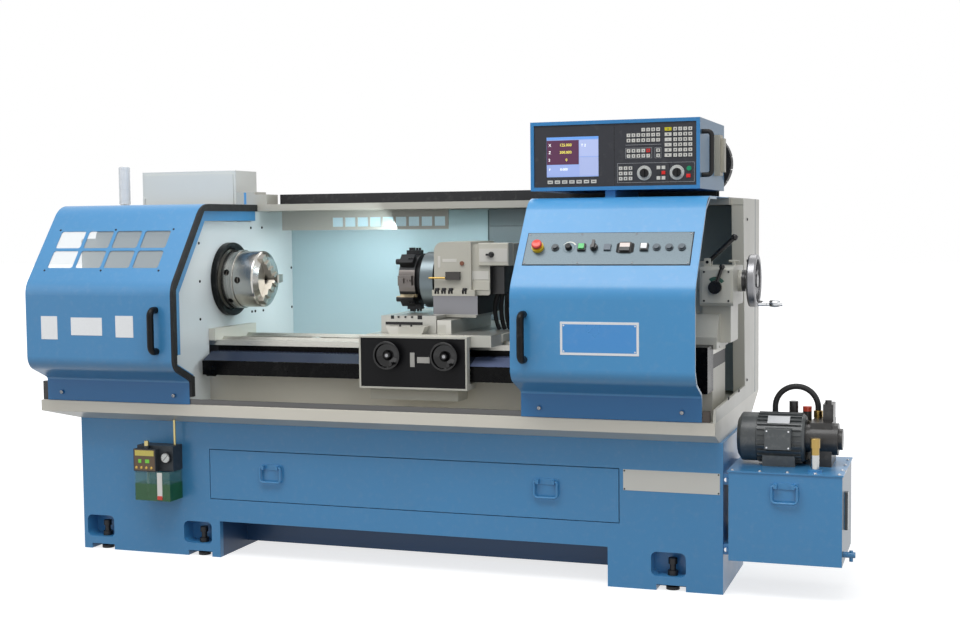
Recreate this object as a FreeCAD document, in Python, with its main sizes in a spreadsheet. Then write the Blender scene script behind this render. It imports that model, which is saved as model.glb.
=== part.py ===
import FreeCAD, Part
import math
import os
import Sketcher

# A computer-controlled turning lathe with sliding guards, in millimetres.
# Places are measured from the front left corner of the chip tray, from the floor up:
# X to the right along the bed, Y away from the operator, Z up. The model's origin is on
# the floor in the middle of the whole machine, datum_x and datum_y from that corner.

SIZES = {
    # origin of the model
    "datum_x": 1691,
    "datum_y": 473,
    # cabinet base
    "base_left": 126,
    "base_front": 104,
    "base_length": 2787,
    "base_depth": 500,
    "base_height": 572,
    "left_foot_length": 669,
    "right_foot_length": 442,
    "arch_height": 154,
    "sump_inset": 238,
    "sump_clearance": 24,
    "sump_depth": 220,
    "pocket_width": 133,
    "pocket_floor": 54,
    "pocket_height": 93,
    "pocket_depth": 75,
    "pocket_radius": 22,
    "pocket_side_margin": 18,
    "sole_notch_height": 22,
    "levelling_screw_radius": 12,
    "levelling_screw_top": 118,
    "levelling_nut_radius": 20,
    "levelling_nut_height": 18,
    "levelling_pad_radius": 26,
    "levelling_pad_height": 12,
    # chip drawer in the base
    "drawer_left": 755,
    "drawer_bottom": 250,
    "drawer_length": 1760,
    "drawer_height": 207,
    "drawer_depth": 430,
    "drawer_wall": 4,
    "drawer_gap": 3,
    "drawer_handle_inset": 287,
    "bail_width": 92,
    "bail_drop": 62,
    "bail_wire": 5,
    "bail_pivot_below_top": 62,
    "bail_standoff": 14,
    "bail_bend": 14,
    # chip tray
    "tray_length": 2900,
    "tray_depth": 1131,
    "tray_top": 658,
    "tray_lip": 46,
    "tray_rear_knee": 902,
    "tray_wall": 18,
    "tray_rear_slope": 37,
    "pan_floor": 590,
    "rail_back": 14,
    "rail_thickness": 10,
    "rail_height": 22,
    "stop_length": 26,
    "left_stop_height": 80,
    "right_stop_height": 42,
    # bed
    "bed_right": 2846,
    "bed_front": 252,
    "bed_width": 316,
    "bed_top": 908,
    "way_height": 22,
    "way_overhang": 10,
    "way_width": 78,
    "vee_height": 12,
    "vee_half_width": 14,
    "bed_channel_bottom": 660,
    "bed_rib_count": 6,
    "bed_rib": 36,
    # headstock and spindle
    "spindle_y": 410,
    "spindle_z": 1163,
    "headstock_left": 140,
    "headstock_length": 549,
    "headstock_width": 360,
    "headstock_top": 1386,
    "headstock_step_height": 50,
    "headstock_corner": 40,
    "journal_radius": 75,
    "running_gap": 0.05,
    "bearing_length": 110,
    "chamber_radius": 100,
    "belt_cover_length": 88,
    "belt_cover_bottom": 668,
    "belt_cover_top": 1345,
    "belt_cover_width": 320,
    "spindle_bore": 38,
    "nose_radius": 127,
    "nose_length": 54,
    "nose_gap": 34,
    "cam_socket_radius": 13,
    "cam_socket_depth": 22,
    "cam_socket_count": 6,
    "guard_ring_outer": 160,
    "guard_ring_inner": 131,
    "guard_ring_depth": 26,
    # chuck
    "chuck_radius": 122,
    "chuck_length": 111,
    "chuck_chamfer": 26,
    "chuck_chamfer_length": 18,
    "jaw_count": 3,
    "jaw_width": 34,
    "jaw_seat": 14,
    "jaw_gap": 0.3,
    "jaw_inner": 12,
    "jaw_step_length": 14,
    "jaw_step_height": 29,
    "key_socket_inset": 24,
    "key_socket_radius": 14,
    "key_socket_depth": 26,
    # wall behind the chuck
    "wall_right": 695,
    "wall_sheet": 3,
    "wall_seal_gap": 3,
    # sliding guards
    "guard_length": 692,
    "left_guard_left": 28,
    "right_guard_left": 2158,
    "guard_sheet": 2.5,
    "guard_skirt": 10,
    "guard_skirt_bottom": 659,
    "guard_skirt_top": 755,
    "guard_front": -125,
    "guard_belly": 816,
    "guard_knee": 1148.5,
    "guard_slope": 53,
    "guard_top": 1489,
    "guard_back": 617,
    "guard_skirt_bend": 16,
    "guard_belly_bend": 62,
    "guard_knee_bend": 100,
    "guard_top_bend": 110,
    "flare_half_turn": 32.85,
    "return_upper": 72,
    "return_lower": 36,
    "right_return_upper": 34,
    "right_return_lower": 28,
    "return_bottom": 690,
    "return_sheet": 2,
    "return_step": 872,
    "seal_width": 30,
    "seal_thickness": 12,
    "roller_radius": 14,
    "roller_inset": 73,
    "roller_width": 10,
    "roller_head": 9,
    "window_rows": 2,
    "window_columns": 4,
    "window_left": 98,
    "window_width": 121,
    "window_pitch": 137,
    "window_bottom": 98,
    "window_height": 88,
    "window_row_pitch": 102,
    "window_radius": 10,
    "pane_thickness": 4,
    "pane_margin": 16,
    "grip_radius": 14,
    "grip_standoff": 42,
    "grip_bottom": 890,
    "grip_height": 168,
    "grip_bend": 24,
    "left_grip_x": 652,
    "right_grip_x": 2212,
    # roof, rear guard and end wall
    "roof_left": 600,
    "roof_front": 619,
    "roof_top": 1490,
    "roof_thickness": 30,
    "roof_sheet": 3,
    "roof_block_left": 626,
    "roof_block_length": 92,
    "roof_block_height": 57,
    "roof_step_length": 60,
    "roof_step_height": 45,
    "rear_panel_inset": 101,
    "rear_sheet": 3,
    "rear_rib_count": 5,
    "rear_rib_depth": 36,
    "end_frame_left": 2852,
    "end_frame_width": 48,
    "end_sheet": 10,
    "end_post": 56,
    "end_front_top": 676,
    "end_front_bottom": 730,
    # lamp
    "visor_left": 812,
    "visor_length": 806,
    "visor_y": 700,
    "visor_bottom": 1372,
    "visor_window_count": 9,
    "visor_window_left": 1064,
    "visor_window_width": 50,
    "visor_window_pitch": 61,
    "visor_window_bottom": 1386,
    "visor_window_height": 42,
    "lamp_depth": 44,
    # electrical cabinet and beacon
    "cabinet_left": 98,
    "cabinet_length": 490,
    "cabinet_front": 685,
    "cabinet_depth": 201,
    "cabinet_top": 1648,
    "beacon_x": 19,
    "beacon_y": 655,
    "beacon_foot": 1400,
    "beacon_radius": 26,
    "beacon_base_top": 1518,
    "beacon_top": 1676,
    "beacon_pole": 12,
    # cable channel and chain
    "channel_left": 779,
    "channel_length": 2000,
    "channel_y": 750,
    "channel_width": 66,
    "channel_height": 46,
    "channel_sheet": 3,
    "link_length": 42,
    "link_height": 38,
    "link_width": 54,
    "chain_left": 1490,
    "chain_loop_x": 2700,
    "chain_loop_radius": 119,
    "chain_upper_run": 160,
    # screw cover on the bed
    "screw_cover_left": 720,
    "screw_cover_front": 120,
    "screw_cover_bottom": 772,
    "screw_cover_edge": 831,
    "screw_cover_shoulder": 198,
    "screw_cover_top": 863,
    "screw_cover_sheet": 3,
    "screw_cover_return": 30,
    # carriage
    "saddle_left": 1470,
    "saddle_length": 530,
    "saddle_front": 130,
    "saddle_depth": 560,
    "saddle_top": 955,
    "saddle_gap": 0.3,
    "saddle_bridge_depth": 300,
    "dovetail_bottom_width": 140,
    "dovetail_height": 30,
    "dovetail_flare": 15,
    "dovetail_x": 1630,
    "dovetail_front": 150,
    "rail_cover_x": 1752,
    "rail_cover_width": 60,
    "rail_cover_height": 54,
    "apron_left": 1457,
    "apron_length": 459,
    "apron_front": 80,
    "apron_bottom": 741,
    "apron_top": 951,
    "apron_plate": 32,
    "apron_frame": 7,
    "apron_bracket_height": 50,
    "left_wheel_x": 1586,
    "right_wheel_x": 1828,
    "apron_wheel_z": 876,
    "apron_wheel_radius": 57,
    "apron_wheel_depth": 30,
    # cross slide and turret
    "cross_left": 1505,
    "cross_length": 240,
    "cross_front": 200,
    "cross_depth": 500,
    "cross_top": 1025,
    "riser_left": 1695,
    "riser_length": 192,
    "riser_front": 300,
    "riser_depth": 300,
    "riser_top": 1102,
    "turret_top": 1321,
    "turret_corner": 38,
    "turret_foot": 24,
    "gear_cover_width": 76,
    "turret_disc_left": 1538,
    "turret_disc_thickness": 72,
    "turret_disc_radius": 104,
    "turret_station_count": 8,
    "turret_station_radius": 129,
    "turret_hub_length": 84,
    "turret_hub_radius": 116,
    "turret_shaft": 44,
    # tailstock
    "tail_base_left": 2580,
    "tail_base_right": 2866,
    "tail_base_front": 236,
    "tail_base_top": 1038,
    "tail_barrel_radius": 76,
    "tail_box_left": 2797,
    "tail_box_length": 127,
    "tail_box_front": 262,
    "tail_box_depth": 250,
    "tail_box_bottom": 1072,
    "tail_box_height": 150,
    "quill_radius": 37.5,
    "quill_left": 2470,
    "quill_length": 300,
    "quill_taper_mouth": 15.6,
    "quill_taper_end": 12.8,
    "quill_taper_depth": 110,
    "tail_wheel_x": 2981,
    "tail_wheel_radius": 102,
    "tail_rim_depth": 34,
    "tail_rim_height": 18,
    "crank_grip_radius": 11,
    "crank_grip_length": 92,
    # control box on the right guard
    "control_left": 2150,
    "control_length": 662,
    "control_front": 185,
    "control_depth": 550,
    "control_bottom": 1517,
    "control_height": 266,
    "control_rim": 14,
    "connector_inset": 312,
    "connector_rise": 56,
    "connector_length": 64,
    "connector_height": 160,
    "connector_depth": 24,
    "face_recess": 4,
    "face_plate": 4,
    "bracket_left": 2443,
    "bracket_width": 40,
    "key_width": 14,
    "key_height": 13,
    "key_rise": 2.5,
    "key_pitch": 19,
    "key_row_pitch": 19.6,
    "soft_key_pitch": 28.9,
    "soft_key_width": 21,
    "dial_radius": 27,
    "screen_left": 2214,
    "screen_length": 207,
    "screen_bottom": 1570,
    "screen_height": 154,
    "knob_radius": 17,
    "knob_height": 20,
    "knob_shaft": 4,
    "dial_inset": 88,
    "dial_spacing": 125,
    "dial_z": 1579,
    # switch panel on the right guard
    "panel_left": 2190,
    "panel_length": 627,
    "panel_bottom": 113,
    "panel_height": 144,
    "panel_sheet": 3,
    "switch_line": 188,
    "collar_radius": 15,
    "button_side": 22,
    "button_rise": 9.5,
    "button_frame": 4,
    "button_gap": 0.3,
    "button_travel": 4,
    "stop_x": 2238,
    "stop_radius": 19.5,
    "lamp_x": 2305,
    "speed_knob_x": 2357,
    "start_button_x": 2407,
    "selector_x": 2454,
    "indicator_x": 2505,
    "socket_x": 2572,
    "white_button_x": 2643,
    "lens_x": 2689,
    "lens_pitch": 46.5,
    # hydraulic unit
    "tank_left": 2937,
    "tank_length": 409,
    "tank_front": 76,
    "tank_depth": 416,
    "tank_bottom": 139,
    "tank_height": 331,
    "tank_lid": 6,
    "tank_lid_overhang": 4,
    "tank_flange": 24,
    "tank_handle_below_top": 43,
    "motor_left": 2946,
    "motor_y": 284,
    "motor_z": 576,
    "motor_radius": 88,
    "motor_cowl_length": 72,
    "motor_body_length": 178,
    "motor_fin_count": 28,
    "motor_fin_height": 8,
    "pump_length": 60,
    "pump_radius": 60,
    "hose_radius": 11,
    "hose_left_x": 3066,
    "hose_right_x": 3228,
    "hose_y": 402,
    "hose_top": 757,
    "hose_right_end": 640,
    # lubricator
    "lubricator_left": 450,
    "lubricator_length": 172,
    "lubricator_depth": 74,
    "lubricator_bottom": 370,
    "lubricator_height": 106,
    "lubricator_head_length": 106,
    "lubricator_head_depth": 30,
    "reservoir_height": 124,
    "reservoir_wall": 3,
}

document = FreeCAD.newDocument("TurningLathe")
sheet = document.addObject("Spreadsheet::Sheet", "Sizes")
for row, (size_name, size_value) in enumerate(SIZES.items(), start=1):
    sheet.set("A%d" % row, size_name)
    sheet.set("B%d" % row, str(size_value))
    sheet.setAlias("B%d" % row, size_name)
document.recompute()

WHOLE_TURN = 360
FACING = {
    "x": FreeCAD.Rotation(FreeCAD.Vector(0, 1, 0), 90),
    "y": FreeCAD.Rotation(FreeCAD.Vector(1, 0, 0), -90),
    "z": FreeCAD.Rotation(),
}
starts = {}
pieces = []


# ---------------------------------------------------------------------------
# Numbers that remember the sheet's cells they come from
# ---------------------------------------------------------------------------
class Size(float):
    """A number with the formula, in cells of the sheet, that gives it."""

    def __new__(cls, value, formula):
        size = super().__new__(cls, value)
        size.formula = formula
        return size

    def __add__(self, other):
        return Size(float(self) + float(other), "(%s + %s)" % (self.formula, formula_of(other)))

    def __radd__(self, other):
        return Size(float(other) + float(self), "(%s + %s)" % (formula_of(other), self.formula))

    def __sub__(self, other):
        return Size(float(self) - float(other), "(%s - %s)" % (self.formula, formula_of(other)))

    def __rsub__(self, other):
        return Size(float(other) - float(self), "(%s - %s)" % (formula_of(other), self.formula))

    def __mul__(self, other):
        return Size(float(self) * float(other), "(%s * %s)" % (self.formula, formula_of(other)))

    def __rmul__(self, other):
        return Size(float(other) * float(self), "(%s * %s)" % (formula_of(other), self.formula))

    def __truediv__(self, other):
        return Size(float(self) / float(other), "(%s / %s)" % (self.formula, formula_of(other)))

    def __neg__(self):
        return Size(-float(self), "(0 - %s)" % self.formula)


class Cells:
    """The sheet's sizes by name."""

    def __getattr__(self, name):
        return Size(SIZES[name], "Sizes." + name)


def formula_of(value):
    return value.formula if isinstance(value, Size) else "(%r)" % float(value)


def sine(angle):
    return Size(math.sin(math.radians(angle)), "sin(%s * 1 deg)" % formula_of(angle))


def cosine(angle):
    return Size(math.cos(math.radians(angle)), "cos(%s * 1 deg)" % formula_of(angle))


def tangent(angle):
    return Size(math.tan(math.radians(angle)), "tan(%s * 1 deg)" % formula_of(angle))


s = Cells()


# ---------------------------------------------------------------------------
# Placing, joining and cutting
# ---------------------------------------------------------------------------
def bind(thing, name, value):
    thing.setExpression(name, formula_of(value))


def start_at(thing, start):
    """Put a solid's own zero point at a place measured from the tray's corner."""
    starts[thing.Name] = start
    for axis, value in zip("xyz", start):
        bind(thing, ".Placement.Base." + axis, value)
    return thing


def tilt(thing, direction, angle):
    """Turn a solid about a direction through its own zero point."""
    thing.Placement = FreeCAD.Placement(FreeCAD.Vector(), FreeCAD.Rotation(FreeCAD.Vector(direction), 1))
    bind(thing, ".Placement.Rotation.Angle", angle)
    return start_at(thing, starts.get(thing.Name, (0, 0, 0)))


def piece(label, thing):
    """Name a finished sub-part and move it from the tray's corner to the model's origin."""
    x, y, z = starts.get(thing.Name, (0, 0, 0))
    start_at(thing, (x - s.datum_x, y - s.datum_y, z))
    thing.Label = label
    pieces.append(thing)
    return thing


def block(start, span):
    """A rectangular block from its lowest corner."""
    thing = document.addObject("Part::Box", "Block")
    for name, value in zip(("Length", "Width", "Height"), span):
        bind(thing, name, value)
    return start_at(thing, start)


def rod(start, axis, radius, length):
    """A round bar from the middle of its first end."""
    thing = document.addObject("Part::Cylinder", "Rod")
    thing.Placement = FreeCAD.Placement(FreeCAD.Vector(), FACING[axis])
    bind(thing, "Radius", radius)
    bind(thing, "Height", length)
    return start_at(thing, start)


def fuse(*things):
    thing = document.addObject("Part::MultiFuse", "Joined")
    thing.Shapes = list(things)
    thing.Refine = True
    return thing


def cut(base, *tools):
    thing = document.addObject("Part::Cut", "Machined")
    thing.Base = base
    thing.Tool = tools[0] if len(tools) == 1 else fuse(*tools)
    thing.Refine = True
    return thing


# ---------------------------------------------------------------------------
# Outlines, and what is padded, turned or bent from them
# ---------------------------------------------------------------------------
def outline(sketch, corners, closed=True):
    """Straight lines through corners given as (across, up) or (across, up, bend radius)."""
    count = len(corners)
    points = [FreeCAD.Vector(float(corner[0]), float(corner[1]), 0) for corner in corners]
    radii = [corner[2] if len(corner) > 2 else 0 for corner in corners]
    leave = list(points)
    reach = list(points)
    bends = {}
    for i in range(count):
        if not float(radii[i]):
            continue
        back = (points[i - 1] - points[i]).normalize()
        on = (points[(i + 1) % count] - points[i]).normalize()
        half = back.getAngle(on) / 2
        run = float(radii[i]) / math.tan(half)
        reach[i] = points[i] + back * run
        leave[i] = points[i] + on * run
        bends[i] = points[i] + (back + on).normalize() * (float(radii[i]) * (1 / math.sin(half) - 1))
    line_count = count if closed else count - 1
    lines = []
    for i in range(line_count):
        line = Part.LineSegment(leave[i], reach[(i + 1) % count])
        lines.append(sketch.addGeometry(line, False))
    rules = []
    sizes = []
    for i in range(count):
        before = lines[i - 1] if closed or i > 0 else None
        after = lines[i] if i < line_count else None
        if i in bends:
            left_turn = (points[i] - points[i - 1]).cross(points[(i + 1) % count] - points[i]).z > 0
            near = 1 if left_turn else 2
            first, last = (reach[i], leave[i]) if left_turn else (leave[i], reach[i])
            arc = sketch.addGeometry(Part.Arc(first, bends[i], last), False)
            corner = sketch.addGeometry(Part.Point(points[i]), True)
            rules.append(Sketcher.Constraint("Tangent", before, 2, arc, near))
            rules.append(Sketcher.Constraint("Tangent", arc, 3 - near, after, 1))
            rules.append(Sketcher.Constraint("PointOnObject", corner, 1, before))
            rules.append(Sketcher.Constraint("PointOnObject", corner, 1, after))
            sizes.append(("Radius", (arc,), radii[i]))
            held = (corner, 1)
        elif before is None:
            held = (after, 1)
        elif after is None:
            held = (before, 2)
        else:
            rules.append(Sketcher.Constraint("Coincident", before, 2, after, 1))
            held = (after, 1)
        sizes.append(("DistanceX", (-1, 1) + held, corners[i][0]))
        sizes.append(("DistanceY", (-1, 1) + held, corners[i][1]))
    sketch.addConstraint(rules)
    for kind, where, value in sizes:
        index = sketch.addConstraint(Sketcher.Constraint(kind, *where, float(value)))
        sketch.setExpression("Constraints[%d]" % index, formula_of(value))
    return sketch


def new_sketch(body, plane, offset=0):
    """An empty sketch on one of a body's origin planes."""
    sketch = body.newObject("Sketcher::SketchObject", "Outline")
    support = [feature for feature in body.Origin.OriginFeatures if feature.Role == plane]
    sketch.AttachmentSupport = [(support[0], "")]
    sketch.MapMode = "FlatFace"
    bind(sketch, ".AttachmentOffset.Base.z", offset)
    return sketch


def prism(axis, corners, start, length):
    """A body with one outline all along an axis, from start over a length."""
    plane = {"x": "YZ_Plane", "y": "XZ_Plane", "z": "XY_Plane"}[axis]
    body = document.addObject("PartDesign::Body", "Profile")
    offset = 0 - start if axis == "y" else start
    sketch = outline(new_sketch(body, plane, offset), corners)
    pad = body.newObject("PartDesign::Pad", "Pad")
    pad.Profile = sketch
    pad.Reversed = axis == "y"
    bind(pad, "Length", length)
    return body


def turned(axis, corners, centre=(0, 0, 0)):
    """A body turned about an axis from corners given as (along, radius)."""
    body = document.addObject("PartDesign::Body", "Turned")
    if axis == "x":
        sketch = outline(new_sketch(body, "XZ_Plane"), corners)
    else:
        plane = "XY_Plane" if axis == "y" else "XZ_Plane"
        swapped = [(corner[1], corner[0]) + tuple(corner[2:]) for corner in corners]
        sketch = outline(new_sketch(body, plane), swapped)
    turn = body.newObject("PartDesign::Revolution", "Turn")
    turn.Profile = sketch
    turn.ReferenceAxis = (sketch, ["H_Axis" if axis == "x" else "V_Axis"])
    turn.Angle = WHOLE_TURN
    return start_at(body, centre)


def free_sketch(axis, corners):
    """An open line of runs and bends across an axis."""
    sketch = document.addObject("Sketcher::SketchObject", "Path")
    turn = {
        "x": FreeCAD.Rotation(FreeCAD.Vector(1, 1, 1), 120),
        "y": FreeCAD.Rotation(FreeCAD.Vector(1, 0, 0), 90),
    }[axis]
    sketch.Placement = FreeCAD.Placement(FreeCAD.Vector(), turn)
    return outline(sketch, corners, closed=False)


def bent_sheet(corners, thickness, start, length):
    """A folded sheet: an open line across X, thickened to its right and drawn out along X."""
    line = free_sketch("x", corners)
    wall = document.addObject("Part::Offset2D", "Fold")
    wall.Source = line
    wall.Mode = "Skin"
    wall.Join = "Intersection"
    wall.Fill = True
    bind(wall, "Value", thickness)
    thing = document.addObject("Part::Extrusion", "Sheet")
    thing.Base = wall
    thing.DirMode = "Custom"
    thing.Dir = FreeCAD.Vector(1, 0, 0)
    thing.Solid = True
    bind(thing, "LengthFwd", length)
    return start_at(thing, (start, 0, 0))


def bent_rod(axis, corners, radius, level):
    """A round rod or hose along runs and bends in the plane at a level of an axis."""
    path = free_sketch(axis, corners)
    start_at(path, (level, 0, 0) if axis == "x" else (0, level, 0))
    document.recompute()
    ring = document.addObject("Part::Circle", "Ring")
    bind(ring, "Radius", radius)
    along, up = corners[0][0], corners[0][1]
    run = (float(corners[1][0]) - float(along), float(corners[1][1]) - float(up))
    first = (0, run[0], run[1]) if axis == "x" else (run[0], 0, run[1])
    turn = FreeCAD.Rotation(FreeCAD.Vector(0, 0, 1), FreeCAD.Vector(first))
    ring.Placement = FreeCAD.Placement(FreeCAD.Vector(), turn)
    start_at(ring, (level, along, up) if axis == "x" else (along, level, up))
    thing = document.addObject("Part::Sweep", "Bent")
    thing.Sections = [ring]
    thing.Spine = (path, ["Edge%d" % (i + 1) for i in range(len(path.Shape.Edges))])
    thing.Solid = True
    return thing


def polar(centre, radius, angle):
    """A place on a circle about the spindle line, by its angle from +Y towards +Z."""
    return (centre[0] + radius * cosine(angle), centre[1] + radius * sine(angle))


# ---------------------------------------------------------------------------
# Places that several sub-parts share
# ---------------------------------------------------------------------------
base_right = s.base_left + s.base_length
base_back = s.base_front + s.base_depth
arch_left = s.base_left + s.left_foot_length
arch_right = base_right - s.right_foot_length
bed_back = s.bed_front + s.bed_width
vee_front = s.bed_front + 48
vee_back = bed_back - 48
rail_top = s.tray_top + s.rail_height
roof_bottom = s.roof_top - s.roof_thickness
knee_half = (90 - s.guard_slope) / 2
slope_run = (s.guard_top - s.guard_knee) / tangent(s.guard_slope)
nose_left = s.headstock_left + s.headstock_length + s.nose_gap
chuck_back = nose_left + s.nose_length
chuck_face = chuck_back + s.chuck_length
spindle_line = (0, s.spindle_y, s.spindle_z)
chain_floor = s.roof_top + s.channel_sheet + 0.3
chain_level = chain_floor + s.link_height / 2
chain_y = s.channel_y + s.channel_width / 2
left_guard_right = s.left_guard_left + s.guard_length
rear_panel_y = s.tray_depth - s.rear_panel_inset
right_dial_x = s.control_left + s.control_length - s.dial_inset
left_dial_x = right_dial_x - s.dial_spacing
gear_lever_x = s.tail_box_left + 61
gear_lever_z = s.tail_box_bottom + 72
clamp_x = s.tail_box_left + 21
clamp_y = s.tail_box_front + 68
clamp_z = s.tail_box_bottom + s.tail_box_height + 16
overcut = 1


def guard_line(first):
    """The guards' section from a first corner on the skirt, up the front and over the top."""
    return [
        first,
        (s.guard_skirt, s.guard_skirt_top, s.guard_skirt_bend),
        (s.guard_front, s.guard_belly, s.guard_belly_bend),
        (s.guard_front, s.guard_knee, s.guard_knee_bend),
        (s.guard_front + slope_run, s.guard_top, s.guard_top_bend),
        (s.guard_back, s.guard_top),
    ]


def on_slope(thing, x=0, along=0):
    """Lay a solid made flat on XY onto the guards' sloping face, at x and a way up the slope."""
    tilt(thing, (1, 0, 0), s.guard_slope)
    y = s.guard_front + along * cosine(s.guard_slope)
    return start_at(thing, (x, y, s.guard_knee + along * sine(s.guard_slope)))


def round_rectangle(left, bottom, length, height, radius):
    right = left + length
    top = bottom + height
    return [(left, bottom, radius), (right, bottom, radius), (right, top, radius), (left, top, radius)]


def radial_rod(x, angle, inner, outer, radius):
    """A round bar pointing out from the spindle line at an angle from +Y towards +Z."""
    thing = rod((0, 0, 0), "z", radius, outer - inner)
    tilt(thing, (1, 0, 0), angle - 90)
    y, z = polar((s.spindle_y, s.spindle_z), inner, angle)
    return start_at(thing, (x, y, z))


def vee_grooves(gap):
    """Cutters that let a casting sit over the bed's two raised vees."""
    tools = []
    for centre in (vee_front, vee_back):
        reach = s.vee_half_width + gap * 2
        corners = [
            (centre - reach, s.bed_top - overcut),
            (centre - reach, s.bed_top),
            (centre, s.bed_top + s.vee_height + gap * 2),
            (centre + reach, s.bed_top),
            (centre + reach, s.bed_top - overcut),
        ]
        tools.append(prism("x", corners, 0, s.tray_length + 200))
    return tools


# ---------------------------------------------------------------------------
# Cabinet base, levelling screws and chip drawer
# ---------------------------------------------------------------------------
def screw_pockets():
    return [
        s.base_left + s.pocket_side_margin,
        arch_left - s.pocket_width - 40,
        base_right - s.pocket_width - 140,
    ]


def make_base():
    body = block((s.base_left, s.base_front, 0), (s.base_length, s.base_depth, s.base_height))
    arch_length = arch_right - arch_left
    arch = block((arch_left, s.base_front - overcut, -overcut),
                 (arch_length, s.base_depth + 2 * overcut, s.arch_height + overcut))
    bay = block((s.drawer_left - s.drawer_gap, s.base_front - overcut, s.drawer_bottom - s.drawer_gap),
                (s.drawer_length + 2 * s.drawer_gap, s.drawer_depth + s.drawer_gap + overcut,
                 s.drawer_height + 2 * s.drawer_gap))
    tools = [arch, bay]
    for left in screw_pockets():
        mouth = round_rectangle(left, s.pocket_floor, s.pocket_width, s.pocket_height, s.pocket_radius)
        for front in (s.base_front - overcut, base_back - s.pocket_depth):
            tools.append(prism("y", mouth, front, s.pocket_depth + overcut))
            notch = block((left + 20, front, -overcut),
                          (s.pocket_width - 20, s.pocket_depth + overcut, s.sole_notch_height + overcut))
            tools.append(notch)
    shell = cut(body, *tools)
    sump = block((arch_left, s.base_front + s.sump_inset, s.sump_clearance),
                 (arch_length, s.sump_depth, s.arch_height - s.sump_clearance))
    runners = []
    for x in (s.drawer_left + 16, s.drawer_left + s.drawer_length - 46):
        runner = block((x, s.base_front + 20, s.drawer_bottom - s.drawer_gap),
                       (30, s.drawer_depth - 30, s.drawer_gap + s.drawer_wall + 2 - 0.3))
        runners.append(runner)
    holes = []
    for x, y in screw_places():
        holes.append(rod((x, y, 0), "z", s.levelling_screw_radius + 0.5, s.pocket_floor + overcut))
    piece("base_cabinet", cut(fuse(shell, sump, *runners), *holes))


def screw_places():
    places = []
    for left in screw_pockets():
        for y in (s.base_front + s.pocket_depth / 2, base_back - s.pocket_depth / 2):
            places.append((left + s.pocket_width / 2 + 10, y))
    return places


def make_levelling_screws():
    screws = []
    for x, y in screw_places():
        pad = rod((x, y, 0), "z", s.levelling_pad_radius, s.levelling_pad_height)
        stem = rod((x, y, s.levelling_pad_height / 2), "z", s.levelling_screw_radius,
                   s.levelling_screw_top - s.levelling_pad_height / 2)
        nut = rod((x, y, s.pocket_floor), "z", s.levelling_nut_radius, s.levelling_nut_height)
        head = rod((x, y, s.levelling_screw_top - 20), "z", s.levelling_nut_radius - 3, 22)
        screws.append(fuse(pad, stem, nut, head))
    group = document.addObject("Part::Compound", "Screws")
    group.Links = screws
    piece("levelling_screws", group)


def bail_ears(x, y, z):
    """Backing strip and two bored ears for a drop handle, on a face that looks to -Y."""
    strip = block((x - s.bail_width / 2 - 4, y - 3, z - 12), (s.bail_width + 8, 3, 24))
    ears = []
    for side in (-1, 1):
        inner = x + side * (s.bail_width / 2 - 14) - 6
        ear = block((inner, y - s.bail_standoff - 8, z - 8), (12, s.bail_standoff + 8, 16))
        ears.append(ear)
    pin = rod((x - s.bail_width, y - s.bail_standoff, z), "x", s.bail_wire + s.running_gap, s.bail_width * 2)
    return cut(fuse(strip, *ears), pin)


def bail(x, y, z):
    """A drop handle of round wire whose two inward ends turn in its ears."""
    left = x - s.bail_width / 2
    right = x + s.bail_width / 2
    low = z - s.bail_drop
    corners = [
        (left + 20, z),
        (left, z, s.bail_wire + 0.5),
        (left, low, s.bail_bend),
        (right, low, s.bail_bend),
        (right, z, s.bail_wire + 0.5),
        (right - 20, z),
    ]
    return bent_rod("y", corners, s.bail_wire, y - s.bail_standoff)


def drawer_handle_places():
    z = s.drawer_bottom + s.drawer_height - s.bail_pivot_below_top
    left = s.drawer_left + s.drawer_handle_inset
    right = s.drawer_left + s.drawer_length - s.drawer_handle_inset
    return [(left, s.base_front, z), (right, s.base_front, z)]


def make_drawer():
    front = block((s.drawer_left, s.base_front, s.drawer_bottom),
                  (s.drawer_length, s.drawer_wall, s.drawer_height))
    inset = 8
    lift = s.drawer_wall + 2
    bin_length = s.drawer_length - 2 * inset
    bin_outer = block((s.drawer_left + inset, s.base_front, s.drawer_bottom + lift),
                      (bin_length, s.drawer_depth, s.drawer_height - 30))
    bin_inner = block((s.drawer_left + inset + s.drawer_wall, s.base_front + s.drawer_wall,
                       s.drawer_bottom + lift + s.drawer_wall),
                      (bin_length - 2 * s.drawer_wall, s.drawer_depth - 2 * s.drawer_wall,
                       s.drawer_height))
    ears = [bail_ears(*place) for place in drawer_handle_places()]
    piece("chip_drawer", fuse(cut(fuse(front, bin_outer), bin_inner), *ears))
    for name, place in zip(("drawer_handle_left", "drawer_handle_right"), drawer_handle_places()):
        piece(name, bail(*place))


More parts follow.
